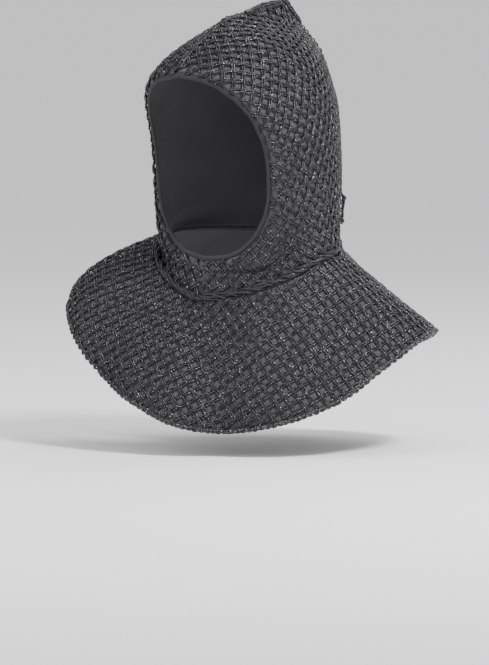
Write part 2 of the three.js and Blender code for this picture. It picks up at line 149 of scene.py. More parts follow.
def monotone(values: Array, position: Array) -> Array:
    """Smooth values through evenly spaced samples, without overshoot.

    Args:
        values: The samples.
        position: Places between 0 and the last sample's index.

    Returns:
        The value at each place.
    """
    last = len(values) - 1
    step = np.diff(values)
    slope = np.zeros(len(values))
    slope[0], slope[-1] = step[0], step[-1]
    product = step[:-1] * step[1:]
    rising = product > 0
    slope[1:-1][rising] = 2 * product[rising] / (step[:-1] + step[1:])[rising]
    i = np.clip(np.floor(position).astype(int), 0, last - 1)
    t = position - i
    return (values[i] * (2 * t**3 - 3 * t**2 + 1) + values[i + 1] * (3 * t**2 - 2 * t**3)
            + slope[i] * (t**3 - 2 * t**2 + t) + slope[i + 1] * (t**3 - t**2))


def periodic(values: Array, position: Array) -> Array:
    """Smooth values around a closed ring of evenly spaced samples.

    Args:
        values: The samples around the ring.
        position: Places, of which the whole part is a sample's index.

    Returns:
        The value at each place.
    """
    i = np.floor(position).astype(int)
    t = position - i
    before, here, after, beyond = (values[(i + k) % len(values)] for k in (-1, 0, 1, 2))
    return 0.5 * (2 * here + (after - before) * t + (2 * before - 5 * here + 4 * after - beyond) * t**2
                  + (3 * here - before - 3 * after + beyond) * t**3)


def unit(vectors: Array) -> Array:
    """Returns the vectors in the last axis at length one."""
    return vectors / np.maximum(np.linalg.norm(vectors, axis=-1, keepdims=True), 1e-12)


def lengths_along(path: Array) -> Array:
    """Returns the length of a path from its start to each of its points."""
    return np.concatenate([[0], np.cumsum(np.linalg.norm(np.diff(path, axis=0), axis=1))])


def ring_tangents(path: Array) -> Array:
    """Returns the unit directions along a closed path."""
    return unit(np.roll(path, -1, axis=0) - np.roll(path, 1, axis=0))


def link_object(name: str, mesh: bpy.types.Mesh) -> bpy.types.Object:
    """Returns a new object with the mesh, linked into the scene.

    Args:
        name: The object's name.
        mesh: Its mesh.

    Returns:
        The object.
    """
    made = bpy.data.objects.new(name, mesh)
    bpy.context.scene.collection.objects.link(made)
    return made


@dataclass
class Surface:
    """A smooth sheet over the unit square, kept as a fine grid of points and normals.

    Attributes:
        points: Grid of points, rows along the second share.
        normals: Outward unit normals on the same grid.
        wraps: Whether the first share runs around a closed ring.
    """

    points: Array
    normals: Array
    wraps: bool = False

    def at(self, u: Array, v: Array, height: Array | float = 0.0) -> Array:
        """Points at shares u and v, raised along the normal.

        Args:
            u: Shares along the rows.
            v: Shares across the rows.
            height: Height above the sheet in metres.

        Returns:
            One point for each pair of shares.
        """
        return self._blend(self.points, u, v) + self.normal(u, v) * np.asarray(height)[..., None]

    def normal(self, u: Array, v: Array) -> Array:
        """Returns the outward unit normals at shares u and v."""
        return unit(self._blend(self.normals, u, v))

    def _blend(self, grid: Array, u: Array, v: Array) -> Array:
        """Returns a grid's values between its points, at shares u and v.

        Args:
            grid: Values on the surface's grid.
            u: Shares along the rows.
            v: Shares across the rows.

        Returns:
            One value for each pair of shares.
        """
        rows, columns = grid.shape[:2]
        across = (np.mod(u, 1.0) if self.wraps else np.clip(u, 0, 1)) * (columns - 1)
        down = np.clip(v, 0, 1) * (rows - 1)
        i = np.clip(np.floor(across).astype(int), 0, columns - 2)
        j = np.clip(np.floor(down).astype(int), 0, rows - 2)
        s, t = (across - i)[..., None], (down - j)[..., None]
        return ((grid[j, i] * (1 - s) + grid[j, i + 1] * s) * (1 - t)
                + (grid[j + 1, i] * (1 - s) + grid[j + 1, i + 1] * s) * t)

    @classmethod
    def of(cls, place: Callable[[Array, Array], Array], columns: int, rows: int,
           wraps: bool = False, inwards: bool = False) -> "Surface":
        """Samples a function of two shares.

        Args:
            place: Gives the points for arrays of shares.
            columns: Samples along the first share.
            rows: Samples along the second share.
            wraps: Whether the first share closes on itself.
            inwards: Whether the cross product of the two ways points inwards.

        Returns:
            The sampled sheet.
        """
        u, v = np.meshgrid(np.linspace(0, 1, columns), np.linspace(0, 1, rows))
        points = place(u, v)
        padded = np.concatenate([points[:, -2:-1], points, points[:, 1:2]], axis=1) if wraps else points
        along = np.gradient(padded, axis=1)
        along = along[:, 1:-1] if wraps else along
        across = np.gradient(points, axis=0)
        normals = unit(np.cross(along, across))
        for _ in range(2):
            normals[1:-1, 1:-1] = unit(normals[:-2, 1:-1] + normals[2:, 1:-1] + normals[1:-1, :-2]
                                       + normals[1:-1, 2:] + 2 * normals[1:-1, 1:-1])
        return cls(points, -normals if inwards else normals, wraps)


@dataclass
class HoodForm:
    """The hood's two side panels, in metres.

    Attributes:
        half_width: Half of the widest section.
        depth: Length that the y shares follow.
        height: Length that the z shares follow.
        lean: Drop of the neck seam towards the left side.
        lean_end: Share up the panel at which the lean ends.
        back_sharpness: Power of the back arc's narrowing.
        side_rise: Power of the front arc's climb.
        dip_gain: Depth of the front arc's dip for a dip of one.
        dent_fade: Share of the panel over which the dents fade at the ridge and both upright edges.
        dent_fade_low: Share over which they fade at the neck seam.
        arc_steps: Samples along each of the two arcs of a section.
        columns: Samples of a panel from front to back.
        rows: Samples of a panel from the neck seam to the ridge.
    """

    half_width: float = 98 * MM
    depth: float = 255 * MM
    height: float = 298 * MM
    lean: float = 13 * MM
    lean_end: float = 0.7
    back_sharpness: float = 1.9
    side_rise: float = 0.7
    dip_gain: float = 1.3
    dent_fade: float = 0.1
    dent_fade_low: float = 0.06
    arc_steps: int = 16
    columns: int = 121
    rows: int = 133

    def column(self, column: HoodColumn, v: Array) -> Array:
        """Returns a column's value, as a length, at each share up the panel.

        Args:
            column: Column of HOOD_ROWS.
            v: Shares from the neck seam to the ridge.

        Returns:
            The lengths in metres.
        """
        values = monotone(HOOD_ROWS[:, column.value], np.clip(v, 0, 1) * (len(HOOD_ROWS) - 1))
        if column in (HoodColumn.FRONT_X, HoodColumn.SIDE_X):
            return values * self.half_width
        if column in (HoodColumn.FRONT_Y, HoodColumn.SIDE_Y, HoodColumn.BACK_Y):
            return values * self.depth
        return values * self.height

    def section(self, v: float) -> Array:
        """Returns the section of the left half at one share up the panel.

        Args:
            v: Share from the neck seam to the ridge.

        Returns:
            Points from the front edge to the back seam.
        """
        front_x, front_y, front_z, side_x, side_y, side_z, dip, back_y, back_z = (
            float(self.column(column, np.array([v]))[0]) for column in HoodColumn)
        angle = np.linspace(0, math.pi / 2, self.arc_steps + 1)
        t = np.linspace(0, 1, self.arc_steps + 1)[1:]
        front = np.stack([
            front_x + (side_x - front_x) * np.sin(angle),
            side_y + (front_y - side_y) * np.cos(angle),
            front_z + (side_z - front_z) * (1 - np.cos(angle)) ** self.side_rise
            - self.dip_gain * dip * np.sin(2 * angle) * np.cos(angle),
        ], axis=1)
        back = np.stack([
            side_x * (1 - t**self.back_sharpness),
            side_y + (back_y - side_y) * t,
            side_z + (back_z - side_z) * t,
        ], axis=1)
        return np.concatenate([front, back])

    def dent(self, u: Array, v: Array) -> Array:
        """Returns the outward swell of the soft dents, which fades at the seams.

        Args:
            u: Shares from the front edge to the back seam.
            v: Shares from the neck seam to the ridge.

        Returns:
            The swell in metres for each pair of shares.
        """
        swell = sum(depth * np.exp(-(((u - du) / su) ** 2) - ((v - dv) / sv) ** 2)
                    for du, dv, su, sv, depth in HOOD_DENTS)
        fade = (np.clip(u / self.dent_fade, 0, 1) * np.clip((1 - u) / self.dent_fade, 0, 1)
                * np.clip((1 - v) / self.dent_fade, 0, 1) * np.clip(v / self.dent_fade_low, 0, 1))
        return swell * self.half_width * fade

    def points(self, side: Side, u: Array, v: Array) -> Array:
        """Points of a panel on a grid of shares.

        Args:
            side: The panel's side.
            u: Grid of shares from the front edge to the back seam.
            v: Grid of shares from the neck seam to the ridge, one value a row.

        Returns:
            The grid of points.
        """
        rows = []
        for row_u, row_v in zip(u, v[:, 0]):
            section = self.section(float(row_v))
            length = lengths_along(section)
            rows.append(np.stack([np.interp(row_u, length / length[-1], section[:, k]) for k in range(3)],
                                 axis=1))
        points = np.stack(rows)
        points[..., 0] = (points[..., 0] + self.dent(u, v)) * side.value
        drop = self.lean * np.clip(1 - v / self.lean_end, 0, 1)
        points[..., 2] -= drop * points[..., 0] / self.half_width
        return points

    def panel(self, side: Side) -> Surface:
        """Returns one side panel as a surface."""
        return Surface.of(lambda u, v: self.points(side, u, v), self.columns, self.rows,
                          inwards=side is Side.RIGHT)


@dataclass
class CapeForm:
    """The shoulder cape, in metres.

    Attributes:
        hood: The hood whose neck seam it hangs from.
        half_width: Length that the reaches follow.
        depth: Length that the hem heights follow.
        axis_y: Place of the cape's upright axis.
        turn: Turn of the cape against the hood, in degrees.
        gather_depth: Depth of the gathers under the neck seam.
        gather_count: Gathers around the neck.
        neck_out: Clearance of the cape's top edge from the hood's wall.
        neck_down: Clearance below the hood's bottom edge.
        neck_samples: Samples of the neck seam on each side.
        columns: Samples of the cape around.
        rows: Samples of the cape from the neck seam to the hem.
    """

    hood: HoodForm
    half_width: float = 204 * MM
    depth: float = 430 * MM
    axis_y: float = 12 * MM
    turn: float = 22.0
    gather_depth: float = 2 * MM
    gather_count: int = 14
    neck_out: float = 3.8 * MM
    neck_down: float = 1.8 * MM
    neck_samples: int = 129
    columns: int = 361
    rows: int = 81

    def neck(self, s: Array) -> Array:
        """Returns the neck seam's points at shares of the turn around the neck.

        Args:
            s: Shares around, from the front over the left side.

        Returns:
            One point for each share.
        """
        turn = np.mod(s, 1.0)
        u, v = np.linspace(0, 1, self.neck_samples)[None, :], np.zeros((1, self.neck_samples))
        left, right = (self.hood.points(side, u, v)[0] for side in Side)
        loop = np.concatenate([left, right[-2::-1]])
        place = np.linspace(0, 1, len(loop))
        return np.stack([np.interp(turn, place, loop[:, k]) for k in range(3)], axis=-1)

    def flute(self, s: Array) -> Array:
        """Returns the lift of the soft flutes at shares around.

        Args:
            s: Shares around, from the front over the left side.

        Returns:
            The lift in metres for each share.
        """
        lift = np.zeros_like(s)
        for angle, spread, share in CAPE_FLUTES:
            away = s * 360 - angle
            away -= 360 * np.round(away / 360)
            lift += share * np.exp(-((away / spread) ** 2))
        return lift * self.half_width

    def points(self, s: Array, t: Array) -> Array:
        """Points of the cape.

        Args:
            s: Shares around, from the front over the left side.
            t: Shares down from the neck seam to the hem.

        Returns:
            One point for each pair of shares.
        """
        reach, hem_z, swell, kick = (periodic(CAPE_ROWS[:, k], s * len(CAPE_ROWS)) for k in range(4))
        bearing = np.radians(s * 360 + self.turn)
        length = reach * self.half_width + self.flute(s)
        hem = np.stack([np.sin(bearing) * length, self.axis_y - np.cos(bearing) * length, hem_z * self.depth],
                       axis=-1)
        neck = self.neck(s)
        centre = np.stack([np.zeros_like(s), np.full_like(s, self.axis_y), neck[..., 2]], axis=-1)
        outward = unit(neck - centre)
        neck = neck + outward * self.neck_out
        neck[..., 2] -= self.neck_down
        bow = (t + swell * t * (1 - t) + kick * (t**4 - t))[..., None]
        points = neck + (hem - neck) * bow
        points[..., 2] = neck[..., 2] + (hem[..., 2] - neck[..., 2]) * t
        gather = (self.gather_depth * np.sin(np.radians(s * 360 * self.gather_count))
                  * (1 - t) ** 2 * np.minimum(1, 4 * t))
        return points + outward * gather[..., None]

    def sheet(self) -> Surface:
        """Returns the cape as a surface that closes around the neck."""
        return Surface.of(self.points, self.columns, self.rows, wraps=True, inwards=True)


@dataclass
class FlatPattern:
    """A surface laid out flat with little stretch, so that straight strands can be drawn on it.

    Attributes:
        surface: The surface that is laid out.
        columns: Grid columns of the layout.
        rows: Grid rows of the layout.
        passes: Relaxation passes.
        over_relax: Share of the mean correction that a pass makes.
        slit: Share of a ring that stays clear on each side of the cut at its back.
        places: Flat place of each grid point.
        shares: Shares of the surface at each grid point.
        search: Search tree over the flat triangles, with their corners' places and shares.
    """

    surface: Surface
    columns: int = 33
    rows: int = 37
    passes: int = 2500
    over_relax: float = 1.2
    slit: float = 0.0005
    places: Array = field(init=False)
    shares: Array = field(init=False)
    search: tuple[BVHTree, Array, Array] = field(init=False)

    def __post_init__(self) -> None:
        """Lays the surface out and builds the search tree."""
        u, v = np.meshgrid(np.linspace(0, 1, self.columns), np.linspace(0, 1, self.rows))
        if self.surface.wraps:
            seam = np.clip(u, self.slit, 1 - self.slit) + 0.5
            points = self.surface.at(seam, v)
            self.shares = np.stack([seam, v], axis=-1)
            places = self._ring_start(points)
        else:
            points = self.surface.at(u, v)
            self.shares = np.stack([u, v], axis=-1)
            places = self._panel_start(points)
        self.places = self._relax(points, places)
        self.search = self._search_tree()

    @staticmethod
    def _panel_start(points: Array) -> Array:
        """Returns a first layout of a panel, in lengths from its back edge and up its middle column.

        Args:
            points: Grid of points on the panel.

        Returns:
            A flat place for each point.
        """
        rows = np.linalg.norm(np.diff(points, axis=1), axis=2)
        from_back = np.cumsum(rows[:, ::-1], axis=1)[:, ::-1]
        along = np.concatenate([from_back, np.zeros((len(points), 1))], axis=1)
        middle = points[:, points.shape[1] // 2]
        up = lengths_along(middle)
        return np.stack([-along, np.broadcast_to(up[:, None], along.shape)], axis=-1)

    @staticmethod
    def _ring_start(points: Array) -> Array:
        """Returns a fan-shaped first layout of a flared ring of cloth.

        Args:
            points: Grid of points on the ring.

        Returns:
            A flat place for each point.
        """
        inner = np.linalg.norm(np.diff(points[0], axis=0), axis=1).sum()
        outer = np.linalg.norm(np.diff(points[-1], axis=0), axis=1).sum()
        slant = np.linalg.norm(np.diff(points, axis=0), axis=2).sum(axis=0).mean()
        near = slant * inner / (outer - inner)
        sweep = inner / near
        rows, columns = points.shape[:2]
        angle = (np.linspace(0, 1, columns)[None, :] - 0.5) * sweep
        radius = near + np.linspace(0, slant, rows)[:, None]
        return np.stack([radius * np.sin(angle), -radius * np.cos(angle)], axis=-1)

    def _relax(self, points: Array, places: Array) -> Array:
        """Moves the flat places until the grid's edges have the lengths that they have on the surface.

        Args:
            points: Grid of points on the surface.
            places: First layout.

        Returns:
            The relaxed layout.
        """
        links = [((slice(None), slice(1, None)), (slice(None), slice(None, -1))),
                 ((slice(1, None), slice(None)), (slice(None, -1), slice(None))),
                 ((slice(1, None), slice(1, None)), (slice(None, -1), slice(None, -1))),
                 ((slice(1, None), slice(None, -1)), (slice(None, -1), slice(1, None)))]
        lengths = [np.linalg.norm(points[a] - points[b], axis=-1, keepdims=True) for a, b in links]
        for _ in range(self.passes):
            move = np.zeros_like(places)
            count = np.zeros(places.shape[:2] + (1,))
            for (a, b), length in zip(links, lengths):
                gap = places[a] - places[b]
                now = np.maximum(np.linalg.norm(gap, axis=-1, keepdims=True), 1e-9)
                push = gap * (length / now - 1) / 2
                move[a] += push
                move[b] -= push
                count[a] += 1
                count[b] += 1
            places = places + self.over_relax * move / count
        return places

    def _search_tree(self) -> tuple[BVHTree, Array, Array]:
        """Returns a search tree over the flat triangles, with their corners' places and shares.

        Returns:
            The tree, then the flat places and the shares of each triangle's corners.
        """
        index = np.arange(self.rows * self.columns).reshape(self.rows, self.columns)
        a, b, c, d = index[:-1, :-1], index[:-1, 1:], index[1:, 1:], index[1:, :-1]
        triangles = np.concatenate([np.stack([a, b, c], -1).reshape(-1, 3),
                                    np.stack([a, c, d], -1).reshape(-1, 3)])
        flat = np.concatenate([self.places.reshape(-1, 2), np.zeros((index.size, 1))], axis=1)
        tree = BVHTree.FromPolygons([tuple(p) for p in flat], [tuple(map(int, t)) for t in triangles])
        return tree, flat[triangles][:, :, :2], self.shares.reshape(-1, 2)[triangles]

    def shares_at(self, places: Array) -> tuple[Array, Array]:
        """Finds the surface's shares under flat places.

        Args:
            places: Flat places, one a row.

        Returns:
            The shares, and whether each place lies on the cloth.
        """
        tree, corners, shares = self.search
        found = np.full(len(places), -1)
        for k, (x, y) in enumerate(places):
            hit = tree.ray_cast(Vector((x, y, 1.0)), Vector((0, 0, -1)))
            if hit[2] is not None:
                found[k] = hit[2]
        inside = found >= 0
        a, b, c = (corners[found, k] for k in range(3))
        ab, ac, ap = b - a, c - a, places - a
        area = ab[:, 0] * ac[:, 1] - ab[:, 1] * ac[:, 0]
        beta = (ap[:, 0] * ac[:, 1] - ap[:, 1] * ac[:, 0]) / area
        gamma = (ab[:, 0] * ap[:, 1] - ab[:, 1] * ap[:, 0]) / area
        weights = np.stack([1 - beta - gamma, beta, gamma], axis=1)
        return (shares[found] * weights[..., None]).sum(axis=1), inside


@dataclass
class MeshParts:
    """Vertices, quads and strand coordinates that many small forms are gathered in.

    Attributes:
        points: Blocks of vertices.
        quads: Blocks of quads, counted from each block's own first vertex.
        coordinates: Blocks of strand coordinates, metres along and turns around, one for each vertex.
        tones: Blocks of one random tone for each vertex.
    """

    points: list[Array] = field(default_factory=list)
    quads: list[Array] = field(default_factory=list)
    coordinates: list[Array] = field(default_factory=list)
    tones: list[Array] = field(default_factory=list)

    def tube(self, path: Array, radius: Array | float, guide: Array, sides: int, tone: float,
             closed: bool = False, flatness: float = 1.0) -> None:
        """Adds one round tube.

        Args:
            path: Centre points.
            radius: One radius, or one for each point.
            guide: Direction that the section's first axis follows, one or one for each point.
            sides: Corners of the section.
            tone: The tube's tone, from 0 to 1.
            closed: Whether the path runs back to its start.
            flatness: Share of the radius across the guide's direction.
        """
        tangent = ring_tangents(path) if closed else unit(np.gradient(path, axis=0))
        across = unit(np.cross(tangent, np.broadcast_to(guide, path.shape)))
        up = np.cross(across, tangent)
        angle = np.arange(sides) / sides * 2 * math.pi
        ring = (up[:, None] * np.cos(angle)[None, :, None]
                + across[:, None] * np.sin(angle)[None, :, None] * flatness)
        points = path[:, None] + ring * np.broadcast_to(radius, len(path)).reshape(-1, 1, 1)
        count = len(path)
        spans = count if closed else count - 1
        here = np.arange(spans)[:, None] * sides
        there = (np.arange(spans)[:, None] + 1) % count * sides
        k, following = np.arange(sides)[None, :], (np.arange(sides)[None, :] + 1) % sides
        quads = np.stack([here + k, here + following, there + following, there + k], axis=-1).reshape(-1, 4)
        coordinates = np.stack(np.broadcast_arrays(lengths_along(path)[:, None],
                                                   (np.arange(sides) / sides)[None, :]), axis=-1)
        self.points.append(points.reshape(-1, 3))
        self.quads.append(quads)
        self.coordinates.append(coordinates.reshape(-1, 2))
        self.tones.append(np.full(points.shape[0] * sides, tone))

    def object(self, name: str) -> bpy.types.Object:
        """Joins the blocks into one mesh object with smooth faces and returns it.

        Args:
            name: The object's name.

        Returns:
            The object, linked into the scene.
        """
        starts = np.cumsum([0] + [len(p) for p in self.points[:-1]])
        points = np.concatenate(self.points)
        quads = np.concatenate([q + start for q, start in zip(self.quads, starts)])
        mesh = bpy.data.meshes.new(name)
        mesh.vertices.add(len(points))
        mesh.vertices.foreach_set("co", points.astype(np.float32).ravel())
        mesh.loops.add(len(quads) * 4)
        mesh.loops.foreach_set("vertex_index", quads.astype(np.int32).ravel())
        mesh.polygons.add(len(quads))
        mesh.polygons.foreach_set("loop_start", np.arange(len(quads), dtype=np.int32) * 4)
        mesh.polygons.foreach_set("use_smooth", np.ones(len(quads), dtype=bool))
        mesh.update(calc_edges=True)
        layer = mesh.uv_layers.new(name=STRAND_MAP)
        corners = np.concatenate(self.coordinates)[quads.ravel()]
        layer.data.foreach_set("uv", corners.astype(np.float32).ravel())
        tone = mesh.attributes.new(TONE, "FLOAT", "POINT")
        tone.data.foreach_set("value", np.concatenate(self.tones).astype(np.float32))
        mesh.validate()
        return link_object(name, mesh)


@dataclass
class NetPattern:
    """Coarse diagonal net of two-ply yarn.

    Attributes:
        pitch: Distance between neighbouring strands.
        angle: Bearing of the first set of strands on the flat cloth, in degrees.
        crossing: Angle between the two sets, in degrees.
        ply_radius: Radius of one ply.
        ply_spread: Half of the distance between the plies halfway between two crossings.
        pinch: Share of that spread that is left at a crossing.
        unevenness: Spread of a ply's radius, as a share of it.
        stray_limit: Largest stray of a radius, in spreads.
        wander: Sideways wander of a strand.
        wander_turns: Angles by which the wander goes on from pitch to pitch and from strand to strand.
        lift: Height of the strands' middle over the lining.
        weave: Rise and fall of a strand over and under the other set.
        looseness: Spread of that rise, as a share of it.
        slack: Extra height where the net stands off the lining.
        puckers: Lengths on the flat cloth after which the slack comes and goes.
        shortest: Fewest samples of a strand that is laid.
        steps: Samples for each pitch along a strand.
        sides: Corners of a ply's section.
        seed: Seed of the yarn's small differences.
    """

    pitch: float = 11.0 * MM
    angle: float = 30.0
    crossing: float = 88.0
    ply_radius: float = 1.1 * MM
    ply_spread: float = 1.4 * MM
    pinch: float = 0.45
    unevenness: float = 0.10
    stray_limit: float = 1.5
    wander: float = 0.3 * MM
    wander_turns: tuple[float, float] = (0.9, 1.7)
    lift: float = 1.9 * MM
    weave: float = 0.7 * MM
    looseness: float = 0.015
    slack: float = 1.3 * MM
    puckers: tuple[float, float] = (34 * MM, 27 * MM)
    shortest: int = 3
    steps: int = 4
    sides: int = 4
    seed: int = 1

    def lay(self, pattern: FlatPattern, parts: MeshParts) -> float:
        """Lays both sets of strands over a flat pattern.

        Args:
            pattern: The cloth, laid flat.
            parts: Collects the plies.

        Returns:
            The length of all strands in metres.
        """
        rng = np.random.default_rng(self.seed)
        low = pattern.places.reshape(-1, 2).min(axis=0)
        high = pattern.places.reshape(-1, 2).max(axis=0)
        middle, reach = (low + high) / 2, np.linalg.norm(high - low) / 2
        first = np.radians(self.angle)
        second = first + np.radians(self.crossing)
        directions = [np.array([np.cos(a), np.sin(a)]) for a in (first, second)]
        stretch = self.pitch / abs(math.sin(second - first))
        total = 0.0
        for own, other, sign in ((directions[0], directions[1], 1), (directions[1], directions[0], -1)):
            count = int(reach / stretch) + 1
            along = np.arange(-count * self.steps, count * self.steps + 1) / self.steps
            for line in range(-count, count + 1):
                places = middle + stretch * (line * other + along[:, None] * own)
                total += self._strand(pattern, parts, places, along, line, sign, rng)
        return total

    def _stand_off(self, places: Array) -> Array:
        """Returns shares from 0 to 1 that tell how far the net stands off the lining at flat places.

        Args:
            places: Flat places, one a row.

        Returns:
            One share for each place.
        """
        # Two crossing waves, each bent by a slower one, so that the puckers stand in no rows
        x, y = places[:, 0] / self.puckers[0], places[:, 1] / self.puckers[1]
        swell = np.sin(x + 1.3 * np.sin(0.7 * y)) + np.sin(1.1 * y + 0.9 * np.sin(0.6 * x) + 2.0)
        return np.clip(swell / 2, 0, 1) ** 1.2

    def _strand(self, pattern: FlatPattern, parts: MeshParts, places: Array, along: Array, line: int,
                sign: int, rng: np.random.Generator) -> float:
        """Adds the plies of one straight line of the flat pattern, in as many runs as it crosses the cloth.

        Args:
            pattern: The cloth, laid flat.
            parts: Collects the plies.
            places: Flat places along the line.
            along: The same places in pitches.
            line: The line's number in its set.
            sign: 1 for the first set and -1 for the second, which passes under where the first passes over.
            rng: Source of the small differences.

        Returns:
            The length of the runs in metres.
        """
        shares, inside = pattern.shares_at(places)
        edges = np.flatnonzero(np.diff(np.concatenate([[0], inside.astype(int), [0]])))
        total = 0.0
        for start, end in edges.reshape(-1, 2):
            if end - start < self.shortest:
                continue
            u, v = shares[start:end, 0], shares[start:end, 1]
            step = along[start:end]
            over = sign * np.cos(math.pi * (step + line))
            loose = rng.normal(0, self.looseness, end - start)
            height = (self.lift + self.slack * self._stand_off(places[start:end])
                      + self.weave * (over + loose))
            path = pattern.surface.at(u, v, height)
            normal = pattern.surface.normal(u, v)
            side = unit(np.cross(unit(np.gradient(path, axis=0)), normal))
            spread = self.ply_spread * (self.pinch + (1 - self.pinch) * np.abs(np.sin(math.pi * step)))
            wander = self.wander * np.sin(step * self.wander_turns[0] + line * self.wander_turns[1])
            for ply in (-1, 1):
                centre = path + side * (ply * spread + wander)[:, None]
                strays = rng.normal(0, 1, end - start).clip(-self.stray_limit, self.stray_limit)
                radii = self.ply_radius * (1 + self.unevenness * strays)
                parts.tube(centre, radii, normal, self.sides, float(rng.uniform()))
            total += float(np.linalg.norm(np.diff(path, axis=0), axis=1).sum())
        return total


class NodeGroups:
    """Shader node groups that the finishes use, each built once."""

    @staticmethod
    def _new(name: str, inputs: dict[str, float], outputs: Iterable[str]) -> bpy.types.ShaderNodeTree:
        """Makes an empty group with named float inputs and outputs.

        Args:
            name: The group's name.
            inputs: Label and value of each input.
            outputs: Label of each output.

        Returns:
            The group.
        """
        tree = bpy.data.node_groups.new(name, "ShaderNodeTree")
        for label, value in inputs.items():
            socket = tree.interface.new_socket(label, in_out="INPUT", socket_type="NodeSocketFloat")
            socket.default_value = value
        for label in outputs:
            tree.interface.new_socket(label, in_out="OUTPUT", socket_type="NodeSocketFloat")
        return tree

    @classmethod
    def soft_patches(cls) -> bpy.types.ShaderNodeTree:
        """Returns a group that gives slow light and dark patches and fine fibres over a cloth.

        Returns:
            The group, which the first call makes.
        """
        name = "soft_patches"
        if name in bpy.data.node_groups:
            return bpy.data.node_groups[name]
        tree = cls._new(name, {"Patch Scale": 18.0, "Fibre Scale": 900.0}, ("Patch", "Fibre"))
        nodes, links = tree.nodes, tree.links
        entry, leave = nodes.new("NodeGroupInput"), nodes.new("NodeGroupOutput")
        place = nodes.new("ShaderNodeTexCoord")
        for label, detail in (("Patch", 3.0), ("Fibre", 2.0)):
            noise = nodes.new("ShaderNodeTexNoise")
            noise.inputs["Detail"].default_value = detail
            links.new(place.outputs["Object"], noise.inputs["Vector"])
            links.new(entry.outputs[f"{label} Scale"], noise.inputs["Scale"])
            links.new(noise.outputs["Fac"], leave.inputs[label])
        return tree

    @classmethod
    def yarn_twist(cls) -> bpy.types.ShaderNodeTree:
        """Returns a group that gives the ridges of a twisted yarn and its glinting flecks.

        Returns:
            The group, which the first call makes.
        """
        name = "yarn_twist"
        if name in bpy.data.node_groups:
            return bpy.data.node_groups[name]
        tree = cls._new(name, {"Turns per Metre": 420.0, "Fleck Scale": 700.0,
                               "Fleck From": 0.60, "Fleck To": 0.74}, ("Height", "Fleck"))
        nodes, links = tree.nodes, tree.links
        entry, leave = nodes.new("NodeGroupInput"), nodes.new("NodeGroupOutput")
        uv = nodes.new("ShaderNodeUVMap")
        uv.uv_map = STRAND_MAP
        split = nodes.new("ShaderNodeSeparateXYZ")
        links.new(uv.outputs["UV"], split.inputs["Vector"])
        turns = nodes.new("ShaderNodeMath")
        turns.operation = "MULTIPLY_ADD"
        links.new(split.outputs["X"], turns.inputs[0])
        links.new(entry.outputs["Turns per Metre"], turns.inputs[1])
        links.new(split.outputs["Y"], turns.inputs[2])
        wave = nodes.new("ShaderNodeMath")
        wave.operation = "PINGPONG"
        wave.inputs[1].default_value = 0.5
        links.new(turns.outputs["Value"], wave.inputs[0])
        links.new(wave.outputs["Value"], leave.inputs["Height"])
        place = nodes.new("ShaderNodeTexCoord")
        noise = nodes.new("ShaderNodeTexNoise")
        noise.inputs["Detail"].default_value = 1.0
        links.new(place.outputs["Object"], noise.inputs["Vector"])
        links.new(entry.outputs["Fleck Scale"], noise.inputs["Scale"])
        ramp = nodes.new("ShaderNodeMapRange")
        links.new(entry.outputs["Fleck From"], ramp.inputs["From Min"])
        links.new(entry.outputs["Fleck To"], ramp.inputs["From Max"])
        links.new(noise.outputs["Fac"], ramp.inputs["Value"])
        links.new(ramp.outputs["Result"], leave.inputs["Fleck"])
        return tree


@dataclass(frozen=True)
class Finish:
    """A procedural cloth finish.

    Attributes:
        name: The material's name.
        dark: Linear colour of its darker parts.
        light: Linear colour of its lighter parts.
        roughness: Roughness of the plain cloth.
        relief: Height of its bumps.
        relief_share: Strength of the bump.
    """

    name: str
    dark: Colour
    light: Colour
    roughness: float
    relief: float = 0.4 * MM
    relief_share: float = 0.5

    def _start(self) -> tuple[bpy.types.Material, bpy.types.Node]:
        """Makes the material; returns it and its shader.

        Returns:
            The material and its shader.
        """
        material = bpy.data.materials.new(self.name)
        material.use_nodes = True
        shader = material.node_tree.nodes["Principled BSDF"]
        shader.inputs["Roughness"].default_value = self.roughness
        return material, shader

    def _bump(self, material: bpy.types.Material, shader: bpy.types.Node,
              height: bpy.types.NodeSocket) -> None:
        """Wires a height into the shader's normal.

        Args:
            material: The material.
            shader: Its shader.
            height: Output that gives the height.
        """
        bump = material.node_tree.nodes.new("ShaderNodeBump")
        bump.inputs["Distance"].default_value = self.relief
        bump.inputs["Strength"].default_value = self.relief_share
        material.node_tree.links.new(height, bump.inputs["Height"])
        material.node_tree.links.new(bump.outputs["Normal"], shader.inputs["Normal"])

    def _mix(self, material: bpy.types.Material, factor: bpy.types.NodeSocket) -> bpy.types.NodeSocket:
        """Returns the colour output of a mix from dark to light.

        Args:
            material: The material.
            factor: Output that runs from dark, 0, to light, 1.

        Returns:
            The mixed colour.
        """
        mix = material.node_tree.nodes.new("ShaderNodeMix")
        mix.data_type = "RGBA"
        mix.inputs["A"].default_value = (*self.dark, 1)
        mix.inputs["B"].default_value = (*self.light, 1)
        material.node_tree.links.new(factor, mix.inputs["Factor"])
        return mix.outputs["Result"]


@dataclass(frozen=True)
class ClothFinish(Finish):
    """A matt knit or woven cloth.

    Attributes:
        sheen: Weight of the soft shine at grazing angles.
        sheen_roughness: Roughness of that shine.
    """

    sheen: float = 0.08
    sheen_roughness: float = 0.6

    def material(self) -> bpy.types.Material:
        """Makes the finish's material.

        Returns:
            The material.
        """
        material, shader = self._start()
        nodes, links = material.node_tree.nodes, material.node_tree.links
        patches = nodes.new("ShaderNodeGroup")
        patches.node_tree = NodeGroups.soft_patches()
        links.new(self._mix(material, patches.outputs["Patch"]), shader.inputs["Base Color"])
        shader.inputs["Sheen Weight"].default_value = self.sheen
        shader.inputs["Sheen Roughness"].default_value = self.sheen_roughness
        self._bump(material, shader, patches.outputs["Fibre"])
        return material


